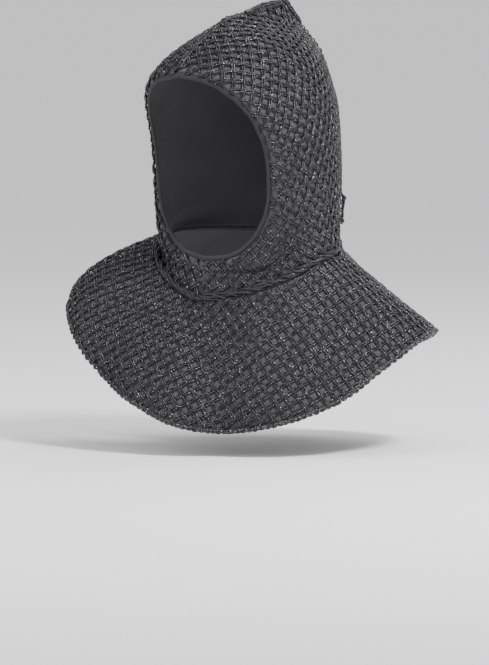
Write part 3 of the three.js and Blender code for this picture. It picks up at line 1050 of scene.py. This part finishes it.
@dataclass(frozen=True)
class YarnFinish(Finish):
    """A twisted yarn with glinting flecks.

    Attributes:
        relief: Height of the twist's ridges.
        relief_share: Strength of the bump.
        metallic: Metallic share of the plain yarn.
        fleck: Linear colour of the flecks.
        fleck_metallic: Metallic share of the flecks.
        fleck_polish: Roughness that the flecks lack.
    """

    relief: float = 0.35 * MM
    relief_share: float = 0.8
    metallic: float = 0.25
    fleck: Colour = (0.36, 0.37, 0.39)
    fleck_metallic: float = 0.95
    fleck_polish: float = 0.18

    def _range(self, material: bpy.types.Material, value: bpy.types.NodeSocket, plain: float,
               flecked: float) -> bpy.types.NodeSocket:
        """Returns an output that runs from the plain yarn's value to the flecks' value.

        Args:
            material: The material.
            value: Output that runs from plain yarn, 0, to fleck, 1.
            plain: The plain yarn's value.
            flecked: The flecks' value.

        Returns:
            The value's output.
        """
        ramp = material.node_tree.nodes.new("ShaderNodeMapRange")
        ramp.inputs["To Min"].default_value = plain
        ramp.inputs["To Max"].default_value = flecked
        material.node_tree.links.new(value, ramp.inputs["Value"])
        return ramp.outputs["Result"]

    def material(self) -> bpy.types.Material:
        """Makes the finish's material.

        Returns:
            The material.
        """
        material, shader = self._start()
        nodes, links = material.node_tree.nodes, material.node_tree.links
        twist = nodes.new("ShaderNodeGroup")
        twist.node_tree = NodeGroups.yarn_twist()
        fleck = twist.outputs["Fleck"]
        tone = nodes.new("ShaderNodeAttribute")
        tone.attribute_name = TONE
        glint = nodes.new("ShaderNodeMix")
        glint.data_type = "RGBA"
        glint.inputs["B"].default_value = (*self.fleck, 1)
        links.new(self._mix(material, tone.outputs["Fac"]), glint.inputs["A"])
        links.new(fleck, glint.inputs["Factor"])
        links.new(glint.outputs["Result"], shader.inputs["Base Color"])
        metallic = self._range(material, fleck, self.metallic, self.fleck_metallic)
        links.new(metallic, shader.inputs["Metallic"])
        rough = self._range(material, fleck, self.roughness, self.roughness - self.fleck_polish)
        links.new(rough, shader.inputs["Roughness"])
        self._bump(material, shader, twist.outputs["Height"])
        return material


def finish_piece(piece: bpy.types.Object, material: bpy.types.Material, node: str) -> None:
    """Gives a piece its material and its body, and hides the CAD node that it stands for.

    Args:
        piece: The piece.
        material: Its material.
        node: The CAD node.
    """
    piece.data.materials.append(material)
    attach(piece, BODY)
    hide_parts(node)
    LOG.info("%s: %d faces", piece.name, len(piece.data.polygons))


def surface_area(surface: Surface) -> float:
    """Returns a surface's area in square metres.

    Args:
        surface: The surface.

    Returns:
        The area.
    """
    p = surface.points
    along, across = np.diff(p, axis=1)[:-1], np.diff(p, axis=0)[:, :-1]
    return float(np.linalg.norm(np.cross(along, across), axis=-1).sum())


@dataclass
class ClothWall:
    """One closed cloth wall, whose outer face lies on one or more surfaces.

    Attributes:
        thickness: Depth of the wall.
        columns: Quads along each surface.
        rows: Quads across each surface.
        joined: Whether edges in the middle plane are drawn onto it, so that the surfaces join.
        positions: Vertices so far.
        faces: Faces so far.
        keys: Index of the vertex at each rounded place.
    """

    thickness: float
    columns: int
    rows: int
    joined: bool
    positions: list[Array] = field(default_factory=list, init=False)
    faces: list[tuple[int, ...]] = field(default_factory=list, init=False)
    keys: dict[tuple[int, ...], int] = field(default_factory=dict, init=False)

    def _vertex(self, point: Array) -> int:
        """Returns the index of the vertex at a point, and adds it where there is none.

        Args:
            point: The point.

        Returns:
            The vertex's index.
        """
        key = tuple(int(round(c * VERTICES_APART_PER_METRE)) for c in point)
        if key not in self.keys:
            self.keys[key] = len(self.positions)
            self.positions.append(point)
        return self.keys[key]

    def _face(self, corners: list[int], turned: bool) -> None:
        """Adds a face, unless two of its corners are the same vertex."""
        if len(set(corners)) == len(corners):
            self.faces.append(tuple(corners[::-1] if turned else corners))

    def cover(self, surface: Surface) -> None:
        """Adds both faces of the wall over a surface, and the rims between them.

        Args:
            surface: The surface.
        """
        u, v = np.meshgrid(np.linspace(0, 1, self.columns + 1), np.linspace(0, 1, self.rows + 1))
        middle = (np.abs(surface.at(u, v)[..., 0]) < MIDDLE_PLANE) & self.joined
        grids = []
        for height in (0.0, -self.thickness):
            points = surface.at(u, v, height)
            points[..., 0] = np.where(middle, 0.0, points[..., 0])
            grids.append([[self._vertex(point) for point in row] for row in points])
        outer, inner = grids
        mirrored = surface.points[0, surface.points.shape[1] // 2, 0] < 0 and not surface.wraps
        turned = mirrored != surface.wraps
        for grid, flip in ((outer, turned), (inner, not turned)):
            for near, far in zip(grid[:-1], grid[1:]):
                for i in range(self.columns):
                    self._face([near[i], near[i + 1], far[i + 1], far[i]], flip)
        rims = [(outer[0], inner[0], middle[0], False), (outer[-1], inner[-1], middle[-1], True)]
        if not surface.wraps:
            rims += [([row[k] for row in outer], [row[k] for row in inner], middle[:, k], k == 0)
                     for k in (0, -1)]
        for over, under, welded, flip in rims:
            for k in range(len(over) - 1):
                if not (welded[k] and welded[k + 1]):
                    self._face([over[k], under[k], under[k + 1], over[k + 1]], flip != turned)

    def object(self, name: str) -> bpy.types.Object:
        """Returns the wall as one mesh object with smooth faces.

        Args:
            name: The object's name.

        Returns:
            The object, linked into the scene.
        """
        mesh = bpy.data.meshes.new(name)
        mesh.from_pydata([tuple(point) for point in self.positions], [], self.faces)
        mesh.validate()
        mesh.update()
        mesh.polygons.foreach_set("use_smooth", np.ones(len(mesh.polygons), dtype=bool))
        return link_object(name, mesh)


@dataclass
class Hood:
    """The hood's lining, its two net panels and the facing of its opening.

    Attributes:
        form: The panels' shape.
        lining_wall: Thickness of the lining.
        lining_columns: Quads of the lining from front to back.
        lining_rows: Quads of the lining up a panel.
        strand_angle: Bearing of the strands on the flat cloth, in degrees.
        net_seed: Seed of the net, to which the side's sign is added.
        facing_stations: Stations of the facing on each half of the opening.
        facing_reach: Distance of the facing's middle from the panels' edge.
        facing_rise: Height of its middle over the panels.
        facing_radius: Half of its width.
        facing_flatness: Share of that width that it is thick.
        facing_sides: Corners of its section.
        ripples: Height of each ripple of the facing, and its angle from one station to the next.
        left: The left panel.
        right: The right panel.
    """

    form: HoodForm
    lining_wall: float = 1 * MM
    lining_columns: int = 60
    lining_rows: int = 70
    strand_angle: float = 44.0
    net_seed: int = 3
    facing_stations: int = 90
    facing_reach: float = 2.7 * MM
    facing_rise: float = 0.7 * MM
    facing_radius: float = 2.6 * MM
    facing_flatness: float = 0.62
    facing_sides: int = 14
    ripples: tuple[tuple[float, float], ...] = ((0.25 * MM, 0.9), (0.2 * MM, 0.37))
    left: Surface = field(init=False)
    right: Surface = field(init=False)

    def __post_init__(self) -> None:
        """Shapes both panels."""
        self.left, self.right = (self.form.panel(side) for side in Side)

    def build_lining(self, material: bpy.types.Material) -> bpy.types.Object:
        """Builds the lining inside both panels.

        Args:
            material: The piece's material.

        Returns:
            The piece.
        """
        wall = ClothWall(self.lining_wall, self.lining_columns, self.lining_rows, joined=True)
        wall.cover(self.left)
        wall.cover(self.right)
        piece = wall.object("hood_lining_cloth")
        finish_piece(piece, material, "hood_lining")
        return piece

    def build_net(self, side: Side, material: bpy.types.Material) -> bpy.types.Object:
        """Builds one side panel's net.

        Args:
            side: The panel's side.
            material: The piece's material.

        Returns:
            The piece.
        """
        surface, name = ((self.left, "hood_net_left") if side is Side.LEFT
                         else (self.right, "hood_net_right"))
        parts = MeshParts()
        net = NetPattern(angle=self.strand_angle, seed=self.net_seed + side.value)
        length = net.lay(FlatPattern(surface), parts)
        piece = parts.object(f"{name}_strands")
        finish_piece(piece, material, name)
        LOG.info("%s: %.1f m of strand", piece.name, length)
        return piece

    def opening(self) -> tuple[Array, Array]:
        """Returns the face opening's edge as a closed loop, with the cloth's normals there.

        Returns:
            The loop's points and normals.
        """
        first = OPENING_ROW / (len(HOOD_ROWS) - 1)
        v = np.linspace(first, 1, self.facing_stations)
        front = np.zeros(self.facing_stations)
        points = np.concatenate([self.left.at(front, v), self.right.at(front, v)[-2:0:-1]])
        normals = np.concatenate([self.left.normal(front, v), self.right.normal(front, v)[-2:0:-1]])
        for k in (0, self.facing_stations - 1):
            points[k, 0] = 0.0
            normals[k, 0] = 0.0
        return points, unit(normals)

    def build_facing(self, material: bpy.types.Material) -> bpy.types.Object:
        """Builds the turned band around the face opening.

        Args:
            material: The piece's material.

        Returns:
            The piece.
        """
        points, normals = self.opening()
        forward = unit(np.cross(normals, ring_tangents(points)))
        station = np.arange(len(points))
        ripple = sum(height * np.sin(station * angle) for height, angle in self.ripples)
        path = points + forward * (self.facing_reach + ripple)[:, None] + normals * self.facing_rise
        parts = MeshParts()
        parts.tube(path, self.facing_radius, forward, self.facing_sides, MIDDLE_TONE, closed=True,
                   flatness=self.facing_flatness)
        piece = parts.object("face_facing_band")
        finish_piece(piece, material, "face_facing")
        return piece


@dataclass
class CrownSeam:
    """The seam over the ridge and down the back, with its frill of net loops.

    Attributes:
        panel: The left panel, whose ridge and back edge the seam follows.
        ridge_start: Share of the ridge at which the seam starts.
        ridge_stations: Stations over the ridge.
        back_end: Share up the back at which it ends.
        back_stations: Stations down the back.
        core_rise: Height of the core's middle over the seam.
        core_radius: Radius of the core, which closes the seam.
        core_sides: Corners of its section.
        frill_rise: Height at which the frill starts.
        lane_gap: Distance of the two seam strands from the middle plane.
        lane_radius: Radius of these strands.
        lane_sides: Corners of their section.
        lane_wave: Sideways wave of these strands.
        lane_wave_length: Length in which the wave turns by one radian.
        loop_pitch: Distance from loop to loop.
        loop_half_width: Half of a loop's width along the seam.
        loop_corners: Corners of a loop.
        loop_radius: Radius of a loop's yarn.
        loop_strays: Smallest and largest height of a loop, as shares of its due height.
        loop_tilt: Largest sideways lean of a loop, as a slope.
        loop_rise: Height of a loop's middle, in half heights of it.
        peak: Shares of the seam between which strands run through the peak's loops.
        peak_heights: Heights of these strands in half heights of a loop, with their radii.
        loose_from: Share of the seam from which the loops are loose.
        loose_lean: Lean of the loose loops towards the left side.
        loose_radius: Radius of a loose loop's yarn.
        tier_rise: Rise from tier to tier of loose loops, in half heights of a loop.
        tier_shift: Shift of the second tier along the seam.
        edge_rise: Height of the loose edge's strand in half heights of a loop.
        edge_radius: Radius of that strand.
        ply_gap: Distance of each ply of these strands from the middle plane.
        ply_wave: Sideways wave of these plies.
        ply_samples: Samples of a ply for each corner of its strand.
        sides: Corners of the yarn's section.
        seed: Seed of the small differences.
    """

    panel: Surface
    ridge_start: float = 0.02
    ridge_stations: int = 90
    back_end: float = 0.07
    back_stations: int = 110
    core_rise: float = 1.1 * MM
    core_radius: float = 2.2 * MM
    core_sides: int = 8
    frill_rise: float = 2.6 * MM
    lane_gap: float = 1.1 * MM
    lane_radius: float = 1.0 * MM
    lane_sides: int = 6
    lane_wave: float = 0.5 * MM
    lane_wave_length: float = 3.2 * MM
    loop_pitch: float = 7.5 * MM
    loop_half_width: float = 3.1 * MM
    loop_corners: int = 12
    loop_radius: float = 0.95 * MM
    loop_strays: tuple[float, float] = (0.75, 1.1)
    loop_tilt: float = 0.45
    loop_rise: float = 0.85
    peak: tuple[float, float] = (0.27, 0.50)
    peak_heights: tuple[tuple[float, float], ...] = ((1.7, 1.1 * MM), (1.05, 1.6 * MM))
    loose_from: float = 0.89
    loose_lean: float = 0.9
    loose_radius: float = 1.3 * MM
    tier_rise: float = 1.6
    tier_shift: float = 3.6 * MM
    edge_rise: float = 3.2
    edge_radius: float = 1.1 * MM
    ply_gap: float = 0.9 * MM
    ply_wave: float = 0.4 * MM
    ply_samples: int = 6
    sides: int = 5
    seed: int = 11

    def route(self) -> tuple[Array, Array]:
        """Returns the seam's route in the middle plane, with its outward directions.

        Returns:
            Points from the face opening over the ridge to the neck seam, and one direction for each.
        """
        ridge_u = np.linspace(self.ridge_start, 1, self.ridge_stations)
        back_v = np.linspace(1, self.back_end, self.back_stations)[1:]
        ridge = self.panel.at(ridge_u, np.ones_like(ridge_u))
        back = self.panel.at(np.ones_like(back_v), back_v)
        points = np.concatenate([ridge, back])
        points[:, 0] = 0.0
        return points, unit(np.cross(ACROSS, unit(np.gradient(points, axis=0))))

    def _outer_strand(self, parts: MeshParts, corners: list[Array], radius: float,
                      rng: np.random.Generator) -> None:
        """Adds a smooth two-ply strand through a few corners.

        Args:
            parts: Collects the plies.
            corners: Points that the strand runs through.
            radius: Radius of a ply.
            rng: Source of the plies' tones.
        """
        places = np.linspace(0, len(corners) - 1, self.ply_samples * len(corners))
        path = np.stack([monotone(np.array(corners)[:, c], places) for c in range(3)], axis=1)
        for lane in (-1, 1):
            apart = lane * (self.ply_gap + self.ply_wave * np.sin(places * math.pi))
            parts.tube(path + ACROSS * apart[:, None], radius, ACROSS, self.sides, float(rng.uniform()))

    def _frill(self, parts: MeshParts, points: Array, outward: Array, rng: np.random.Generator) -> None:
        """Adds the loops, the strands through the peak's loops and the loose edge's strand.

        Args:
            parts: Collects the tubes.
            points: The seam's route.
            outward: Outward direction at each of its points.
            rng: Source of the small differences.
        """
        base = points + outward * self.frill_rise
        length = lengths_along(points)
        share = length / length[-1]
        loops = int(length[-1] / self.loop_pitch)
        angle = np.arange(self.loop_corners) / self.loop_corners * 2 * math.pi
        through: list[list[Array]] = [[] for _ in self.peak_heights]
        edge: list[Array] = []
        for k in range(loops):
            s = (k + 0.5) / loops
            height = np.interp(s, FRILL_PLACES, FRILL_HEIGHTS) * MM * rng.uniform(*self.loop_strays)
            centre = np.array([np.interp(s, share, base[:, c]) for c in range(3)])
            up = unit(np.array([np.interp(s, share, outward[:, c]) for c in range(3)]))
            along = unit(np.cross(up, ACROSS))
            lean = ACROSS * rng.uniform(-self.loop_tilt, self.loop_tilt)
            loose = s > self.loose_from
            stand = unit(up + ACROSS * self.loose_lean) if loose else up
            for tier in range(2 if loose else 1):
                ring = (centre + stand * (height * (self.loop_rise + self.tier_rise * tier))
                        + along * (self.tier_shift * tier)
                        + np.cos(angle)[:, None] * (stand + lean) * height
                        + np.sin(angle)[:, None] * along * self.loop_half_width)
                parts.tube(ring, self.loose_radius if loose else self.loop_radius, ACROSS, self.sides,
                           float(rng.uniform()), closed=True)
            if loose:
                edge += [centre] if not edge else []
                edge.append(centre + stand * (height * self.edge_rise) + along * self.tier_shift)
            elif self.peak[0] < s < self.peak[1]:
                for corners, (rise, _) in zip(through, self.peak_heights):
                    corners.append(centre + up * (height * rise))
        for corners, (_, radius) in zip(through, self.peak_heights):
            self._outer_strand(parts, corners, radius, rng)
        self._outer_strand(parts, edge + [base[-1]], self.edge_radius, rng)

    def build(self, material: bpy.types.Material) -> bpy.types.Object:
        """Builds the seam.

        Args:
            material: The piece's material.

        Returns:
            The piece.
        """
        points, outward = self.route()
        parts = MeshParts()
        rng = np.random.default_rng(self.seed)
        parts.tube(points + outward * self.core_rise, self.core_radius, outward, self.core_sides, DARK_TONE)
        base = points + outward * self.frill_rise
        length = lengths_along(points)
        for lane in (-1, 1):
            wave = self.lane_wave * np.sin(length / self.lane_wave_length + lane)
            path = base + ACROSS * (lane * self.lane_gap + wave)[:, None]
            parts.tube(path, self.lane_radius, outward, self.lane_sides, float(rng.uniform()))
        self._frill(parts, points, outward, rng)
        piece = parts.object("crown_seam_frill")
        finish_piece(piece, material, "crown_seam")
        return piece


@dataclass
class Cape:
    """The shoulder cape's lining and net.

    Attributes:
        form: The cape's shape.
        lining_wall: Thickness of the lining.
        lining_columns: Quads of the lining around.
        lining_rows: Quads of the lining down to the hem.
        strand_angle: Bearing of the strands on the flat cloth, in degrees.
        net_seed: Seed of the net.
        pattern_columns: Grid columns of the flat pattern.
        pattern_rows: Grid rows of the flat pattern.
        sheet: The cape's surface.
    """

    form: CapeForm
    lining_wall: float = 1 * MM
    lining_columns: int = 180
    lining_rows: int = 30
    strand_angle: float = 45.0
    net_seed: int = 8
    pattern_columns: int = 73
    pattern_rows: int = 13
    sheet: Surface = field(init=False)

    def __post_init__(self) -> None:
        """Shapes the cape."""
        self.sheet = self.form.sheet()

    def build_lining(self, material: bpy.types.Material) -> bpy.types.Object:
        """Builds the lining under the net.

        Args:
            material: The piece's material.

        Returns:
            The piece.
        """
        wall = ClothWall(self.lining_wall, self.lining_columns, self.lining_rows, joined=False)
        wall.cover(self.sheet)
        piece = wall.object("cape_lining_cloth")
        finish_piece(piece, material, "cape_lining")
        surface_area(self.sheet)
        return piece

    def build_net(self, material: bpy.types.Material) -> bpy.types.Object:
        """Builds the cape's net.

        Args:
            material: The piece's material.

        Returns:
            The piece.
        """
        parts = MeshParts()
        pattern = FlatPattern(self.sheet, columns=self.pattern_columns, rows=self.pattern_rows)
        length = NetPattern(angle=self.strand_angle, seed=self.net_seed).lay(pattern, parts)
        piece = parts.object("cape_net_strands")
        finish_piece(piece, material, "cape_net")
        LOG.info("%s: %.1f m of strand", piece.name, length)
        return piece


@dataclass
class NeckSeam:
    """The gathered roll over the join of hood and cape.

    Attributes:
        cape: The cape's shape, which gives the seam's route.
        hood: The hood, against which the roll lies.
        stations: Stations around the neck.
        look_up: Share up the panels that tells the way up along the cloth.
        out: Distance of the roll's middle from the seam.
        rise: Height of its middle above the seam.
        smoothings: Times that its route is smoothed.
        strands: Strands of the roll.
        turns: Turns of the strands around the neck, added over all strands.
        roll_radius: Radius on which the strands lie.
        turn_waves: Waves of a strand's angle: height, length for one radian, and shift from strand to strand.
        swell_waves: The same for its distance from the middle line, as shares of roll_radius.
        strand_radius: Radius of a strand.
        strand_sides: Corners of its section.
        core_radius: Radius of the core, which closes the roll.
        core_sides: Corners of the section of the core and the seam allowance.
        allowance_out: Distance of the seam allowance's middle from the seam.
        allowance_drop: Depth of its middle below the seam.
        allowance_radius: Radius of the seam allowance.
        allowance_flatness: Share of that radius across.
        seed: Seed of the small differences.
    """

    cape: CapeForm
    hood: Hood
    stations: int = 240
    look_up: float = 0.03
    out: float = 5.0 * MM
    rise: float = 4.4 * MM
    smoothings: int = 3
    strands: int = 6
    turns: int = 62
    roll_radius: float = 3.0 * MM
    turn_waves: tuple[Wave, ...] = ((0.55, 15 * MM, 2.1), (0.3, 7 * MM, 1.3))
    swell_waves: tuple[Wave, ...] = ((0.15, 9 * MM, 1.0), (0.1, 4 * MM, 2.0))
    strand_radius: float = 1.1 * MM
    strand_sides: int = 5
    core_radius: float = 2.3 * MM
    core_sides: int = 8
    allowance_out: float = 2.0 * MM
    allowance_drop: float = 0.9 * MM
    allowance_radius: float = 2.9 * MM
    allowance_flatness: float = 0.8
    seed: int = 21

    def route(self) -> tuple[Array, Array, Array]:
        """Returns the seam's points, the level directions out of the cloth and the roll's middle line.

        Returns:
            Three arrays with one row for each station.
        """
        s = np.linspace(0, 1, self.stations + 1)[:-1]
        u = np.where(s <= 0.5, 2 * s, 2 * (1 - s))
        low, high = np.zeros_like(s), np.full_like(s, self.look_up)
        on_left = (s <= 0.5)[:, None]
        left, right = self.hood.left, self.hood.right
        seam = self.cape.neck(s)
        rise = np.where(on_left, left.at(u, high), right.at(u, high)) - seam
        out = np.where(on_left, left.normal(u, low), right.normal(u, low))
        out[:, 2] = 0.0
        out = unit(out)
        path = seam + out * self.out + unit(rise) * self.rise
        for _ in range(self.smoothings):
            path = (np.roll(path, 1, axis=0) + 2 * path + np.roll(path, -1, axis=0)) / 4
        return seam, out, path

    def _strand(self, strand: int, length: Array) -> tuple[Array, Array]:
        """Returns a strand's angle and radius around the roll's middle line, at lengths along it.

        Args:
            strand: The strand's number.
            length: Lengths along the middle line.

        Returns:
            The angles and the radii.
        """
        turn, swell = (sum(height * np.sin(length / long + shift * strand) for height, long, shift in waves)
                       for waves in (self.turn_waves, self.swell_waves))
        angle = 2 * math.pi / self.strands * (strand + self.turns * length / length[-1])
        return angle + turn, self.roll_radius * (1 + swell)

    def build(self, material: bpy.types.Material) -> bpy.types.Object:
        """Builds the roll and the seam allowance under it.

        Args:
            material: The piece's material.

        Returns:
            The piece.
        """
        seam, out, path = self.route()
        parts = MeshParts()
        rng = np.random.default_rng(self.seed)
        length = lengths_along(path)
        across = unit(np.cross(ring_tangents(path), UPWARD))
        for strand in range(self.strands):
            angle, radius = self._strand(strand, length)
            ring = np.cos(angle)[:, None] * UPWARD + np.sin(angle)[:, None] * across
            parts.tube(path + ring * radius[:, None], self.strand_radius, ring, self.strand_sides,
                       float(rng.uniform()), closed=True)
        parts.tube(path, self.core_radius, UPWARD, self.core_sides, DARK_TONE, closed=True)
        allowance = seam + out * self.allowance_out - UPWARD * self.allowance_drop
        parts.tube(allowance, self.allowance_radius, UPWARD, self.core_sides, DARK_TONE, closed=True,
                   flatness=self.allowance_flatness)
        piece = parts.object("neck_seam_roll")
        finish_piece(piece, material, "neck_seam")
        return piece


@dataclass
class CapeHem:
    """The cape's turned edge with its row of net loops.

    Attributes:
        sheet: The cape's surface.
        stations: Stations around the hem.
        look_up: Share up the cape that tells the way down along the cloth.
        core_out: Distance of the turned edge's middle from the cloth.
        core_drop: Depth of its middle below the cloth's edge.
        core_radius: Radius of the turned edge.
        core_sides: Corners of its section.
        loop_pitch: Distance from loop to loop.
        loop_drop: Depth of a loop's middle below the turned edge.
        loop_out: Distance of its middle outside the turned edge.
        loop_half_height: Half of a loop's height.
        loop_half_width: Half of a loop's width along the hem.
        height_strays: Smallest and largest height of a loop, as shares of its due height.
        width_strays: The same for its width.
        slant: Share of the way down that a loop's upright axis turns outwards.
        slant_strays: Smallest and largest share of the slant that comes off the way down.
        twist: Largest outward slope of its sideways axis.
        loop_corners: Corners of a loop.
        loop_radius: Radius of a loop's yarn.
        loop_sides: Corners of that yarn's section.
        seed: Seed of the small differences.
    """

    sheet: Surface
    stations: int = 480
    look_up: float = 0.03
    core_out: float = 1.2 * MM
    core_drop: float = 1.8 * MM
    core_radius: float = 1.9 * MM
    core_sides: int = 8
    loop_pitch: float = 7.4 * MM
    loop_drop: float = 0.3 * MM
    loop_out: float = 0.5 * MM
    loop_half_height: float = 2.7 * MM
    loop_half_width: float = 3.6 * MM
    height_strays: tuple[float, float] = (0.85, 1.15)
    width_strays: tuple[float, float] = (0.9, 1.1)
    slant: float = 0.2
    slant_strays: tuple[float, float] = (0.35, 0.75)
    twist: float = 0.35
    loop_corners: int = 12
    loop_radius: float = 1.25 * MM
    loop_sides: int = 5
    seed: int = 31

    def build(self, material: bpy.types.Material) -> bpy.types.Object:
        """Builds the turned edge and its loops.

        Args:
            material: The piece's material.

        Returns:
            The piece.
        """
        s = np.arange(self.stations) / self.stations
        bottom = np.ones(self.stations)
        edge = self.sheet.at(s, bottom)
        normal = self.sheet.normal(s, bottom)
        down = unit(edge - self.sheet.at(s, bottom - self.look_up))
        tangent = ring_tangents(edge)
        core = edge + normal * self.core_out + down * self.core_drop
        parts = MeshParts()
        parts.tube(core, self.core_radius, normal, self.core_sides, HEM_TONE, closed=True)
        rng = np.random.default_rng(self.seed)
        loops = int(lengths_along(edge)[-1] / self.loop_pitch)
        angle = np.arange(self.loop_corners) / self.loop_corners * 2 * math.pi
        for k in range(loops):
            i = int((k + 0.5) / loops * self.stations) % self.stations
            centre = core[i] + down[i] * self.loop_drop + normal[i] * self.loop_out
            slant = rng.uniform(*self.slant_strays)
            upright = unit(down[i] * (1 - self.slant * slant) + normal[i] * self.slant)
            sideways = unit(tangent[i] + normal[i] * rng.uniform(-self.twist, self.twist))
            high = self.loop_half_height * rng.uniform(*self.height_strays)
            wide = self.loop_half_width * rng.uniform(*self.width_strays)
            ring = (centre + np.cos(angle)[:, None] * upright * high
                    + np.sin(angle)[:, None] * sideways * wide)
            parts.tube(ring, self.loop_radius, normal[i], self.loop_sides, float(rng.uniform()), closed=True)
        piece = parts.object("cape_hem_loops")
        finish_piece(piece, material, "cape_hem")
        return piece


@dataclass(frozen=True)
class SoftLight:
    """A square area light that faces the subject.

    Attributes:
        name: The light's name.
        azimuth: Azimuth in degrees, from -Y towards +X.
        elevation: Elevation in degrees.
        distance: Distance from the aim.
        power: Power in watts.
        size: Edge length.
    """

    name: str
    azimuth: float
    elevation: float
    distance: float
    power: float
    size: float


@dataclass
class Studio:
    """Pale floor, soft lights and the camera at the photograph's angle.

    Attributes:
        azimuth: Camera azimuth in degrees, from -Y towards +X.
        elevation: Camera elevation in degrees.
        distance: Distance of the camera from its aim.
        frame_width: Width in metres that the picture covers at the aim.
        sensor_width: The camera's sensor width in millimetres.
        aim: Point at the picture's centre.
        floor: Height of the floor.
        floor_size: Edge length of the floor.
        floor_grey: Linear grey of the floor.
        floor_roughness: Roughness of the floor.
        daylight: Strength of the white world light.
        lights: The area lights.
    """

    azimuth: float = 40.0
    elevation: float = 4.0
    distance: float = 7.0
    frame_width: float = 0.534
    sensor_width: float = 36.0
    aim: tuple[float, float, float] = (0.0017, 0.0014, -0.336)
    floor: float = -0.46
    floor_size: float = 60.0
    floor_grey: float = 0.9
    floor_roughness: float = 0.9
    daylight: float = 0.95
    lights: tuple[SoftLight, ...] = (
        SoftLight("key", azimuth=80.0, elevation=52.0, distance=2.2, power=62.0, size=0.45),
        SoftLight("fill", azimuth=-20.0, elevation=24.0, distance=2.6, power=24.0, size=2.0),
        SoftLight("rim", azimuth=190.0, elevation=48.0, distance=2.4, power=18.0, size=1.2),
    )

    def build(self) -> None:
        """Builds the floor, the lights and the camera."""
        self._camera()
        self._floor()
        for light in self.lights:
            self._light(light)
        world = bpy.data.worlds.new("studio")
        bpy.context.scene.world = world
        world.use_nodes = True
        background = world.node_tree.nodes["Background"]
        background.inputs["Color"].default_value = (1.0, 1.0, 1.0, 1)
        background.inputs["Strength"].default_value = self.daylight

    def _place(self, placed: bpy.types.Object, azimuth: float, elevation: float, distance: float) -> None:
        """Links an object into the scene and sets it at a bearing from the aim, facing it.

        Args:
            placed: The object.
            azimuth: Azimuth in degrees.
            elevation: Elevation in degrees.
            distance: Distance from the aim.
        """
        bpy.context.scene.collection.objects.link(placed)
        a, e = math.radians(azimuth), math.radians(elevation)
        direction = Vector((math.sin(a) * math.cos(e), -math.cos(a) * math.cos(e), math.sin(e)))
        aim = Vector(self.aim)
        placed.location = aim + direction * distance
        placed.rotation_euler = (aim - placed.location).to_track_quat("-Z", "Y").to_euler()

    def _camera(self) -> None:
        """Sets the camera."""
        camera = bpy.data.objects.new("camera", bpy.data.cameras.new("camera"))
        self._place(camera, self.azimuth, self.elevation, self.distance)
        camera.data.sensor_fit = "HORIZONTAL"
        camera.data.sensor_width = self.sensor_width
        camera.data.lens = self.sensor_width * self.distance / self.frame_width
        bpy.context.scene.camera = camera

    def _floor(self) -> None:
        """Lays the floor."""
        bpy.ops.mesh.primitive_plane_add(size=self.floor_size, location=(0, 0, self.floor))
        floor = bpy.context.object
        floor.name = "floor"
        material = bpy.data.materials.new("floor_paper")
        material.use_nodes = True
        shader = material.node_tree.nodes["Principled BSDF"]
        shader.inputs["Base Color"].default_value = (self.floor_grey,) * 3 + (1,)
        shader.inputs["Roughness"].default_value = self.floor_roughness
        floor.data.materials.append(material)

    def _light(self, soft: SoftLight) -> None:
        """Hangs one area light.

        Args:
            soft: The light's place, power and size.
        """
        light = bpy.data.lights.new(soft.name, "AREA")
        light.energy = soft.power
        light.size = soft.size
        self._place(bpy.data.objects.new(soft.name, light), soft.azimuth, soft.elevation, soft.distance)


NET_YARN = YarnFinish("net_yarn", (0.006, 0.006, 0.007), (0.019, 0.019, 0.022), 0.50)
# Darker copy of the net yarn, with darker and less metallic flecks, for the neck roll: painted shade of the
# crease under the chin fold.
SEAM_YARN_PAINTED_SHADE = YarnFinish("seam_yarn_painted_shade", (0.006, 0.006, 0.007), (0.016, 0.017, 0.019), 0.55, metallic=0.2,
                       fleck=(0.14, 0.14, 0.16), fleck_metallic=0.5)
KNIT_LINING = ClothFinish("knit_lining", (0.040, 0.039, 0.044), (0.068, 0.066, 0.075), 0.95)
FACING_CLOTH = ClothFinish("facing_cloth", (0.009, 0.009, 0.010), (0.017, 0.017, 0.019), 0.85, sheen=0.02)


def main() -> None:
    """Builds the pieces in order."""
    logging.basicConfig(level=logging.INFO, format="%(name)s: %(message)s")
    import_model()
    yarn = NET_YARN.material()
    seam_yarn_painted_shade = SEAM_YARN_PAINTED_SHADE.material()
    lining = KNIT_LINING.material()
    facing = FACING_CLOTH.material()
    hood = Hood(HoodForm())
    hood.build_lining(lining)
    hood.build_net(Side.LEFT, yarn)
    hood.build_net(Side.RIGHT, yarn)
    hood.build_facing(facing)
    CrownSeam(hood.left).build(yarn)
    cape = Cape(CapeForm(hood.form))
    cape.build_lining(lining)
    cape.build_net(yarn)
    # The neck roll gets the darker copy of the yarn: painted shade in the crease.
    NeckSeam(cape.form, hood).build(seam_yarn_painted_shade)
    CapeHem(cape.sheet).build(yarn)
    Studio().build()


if __name__ == "__main__":
    main()
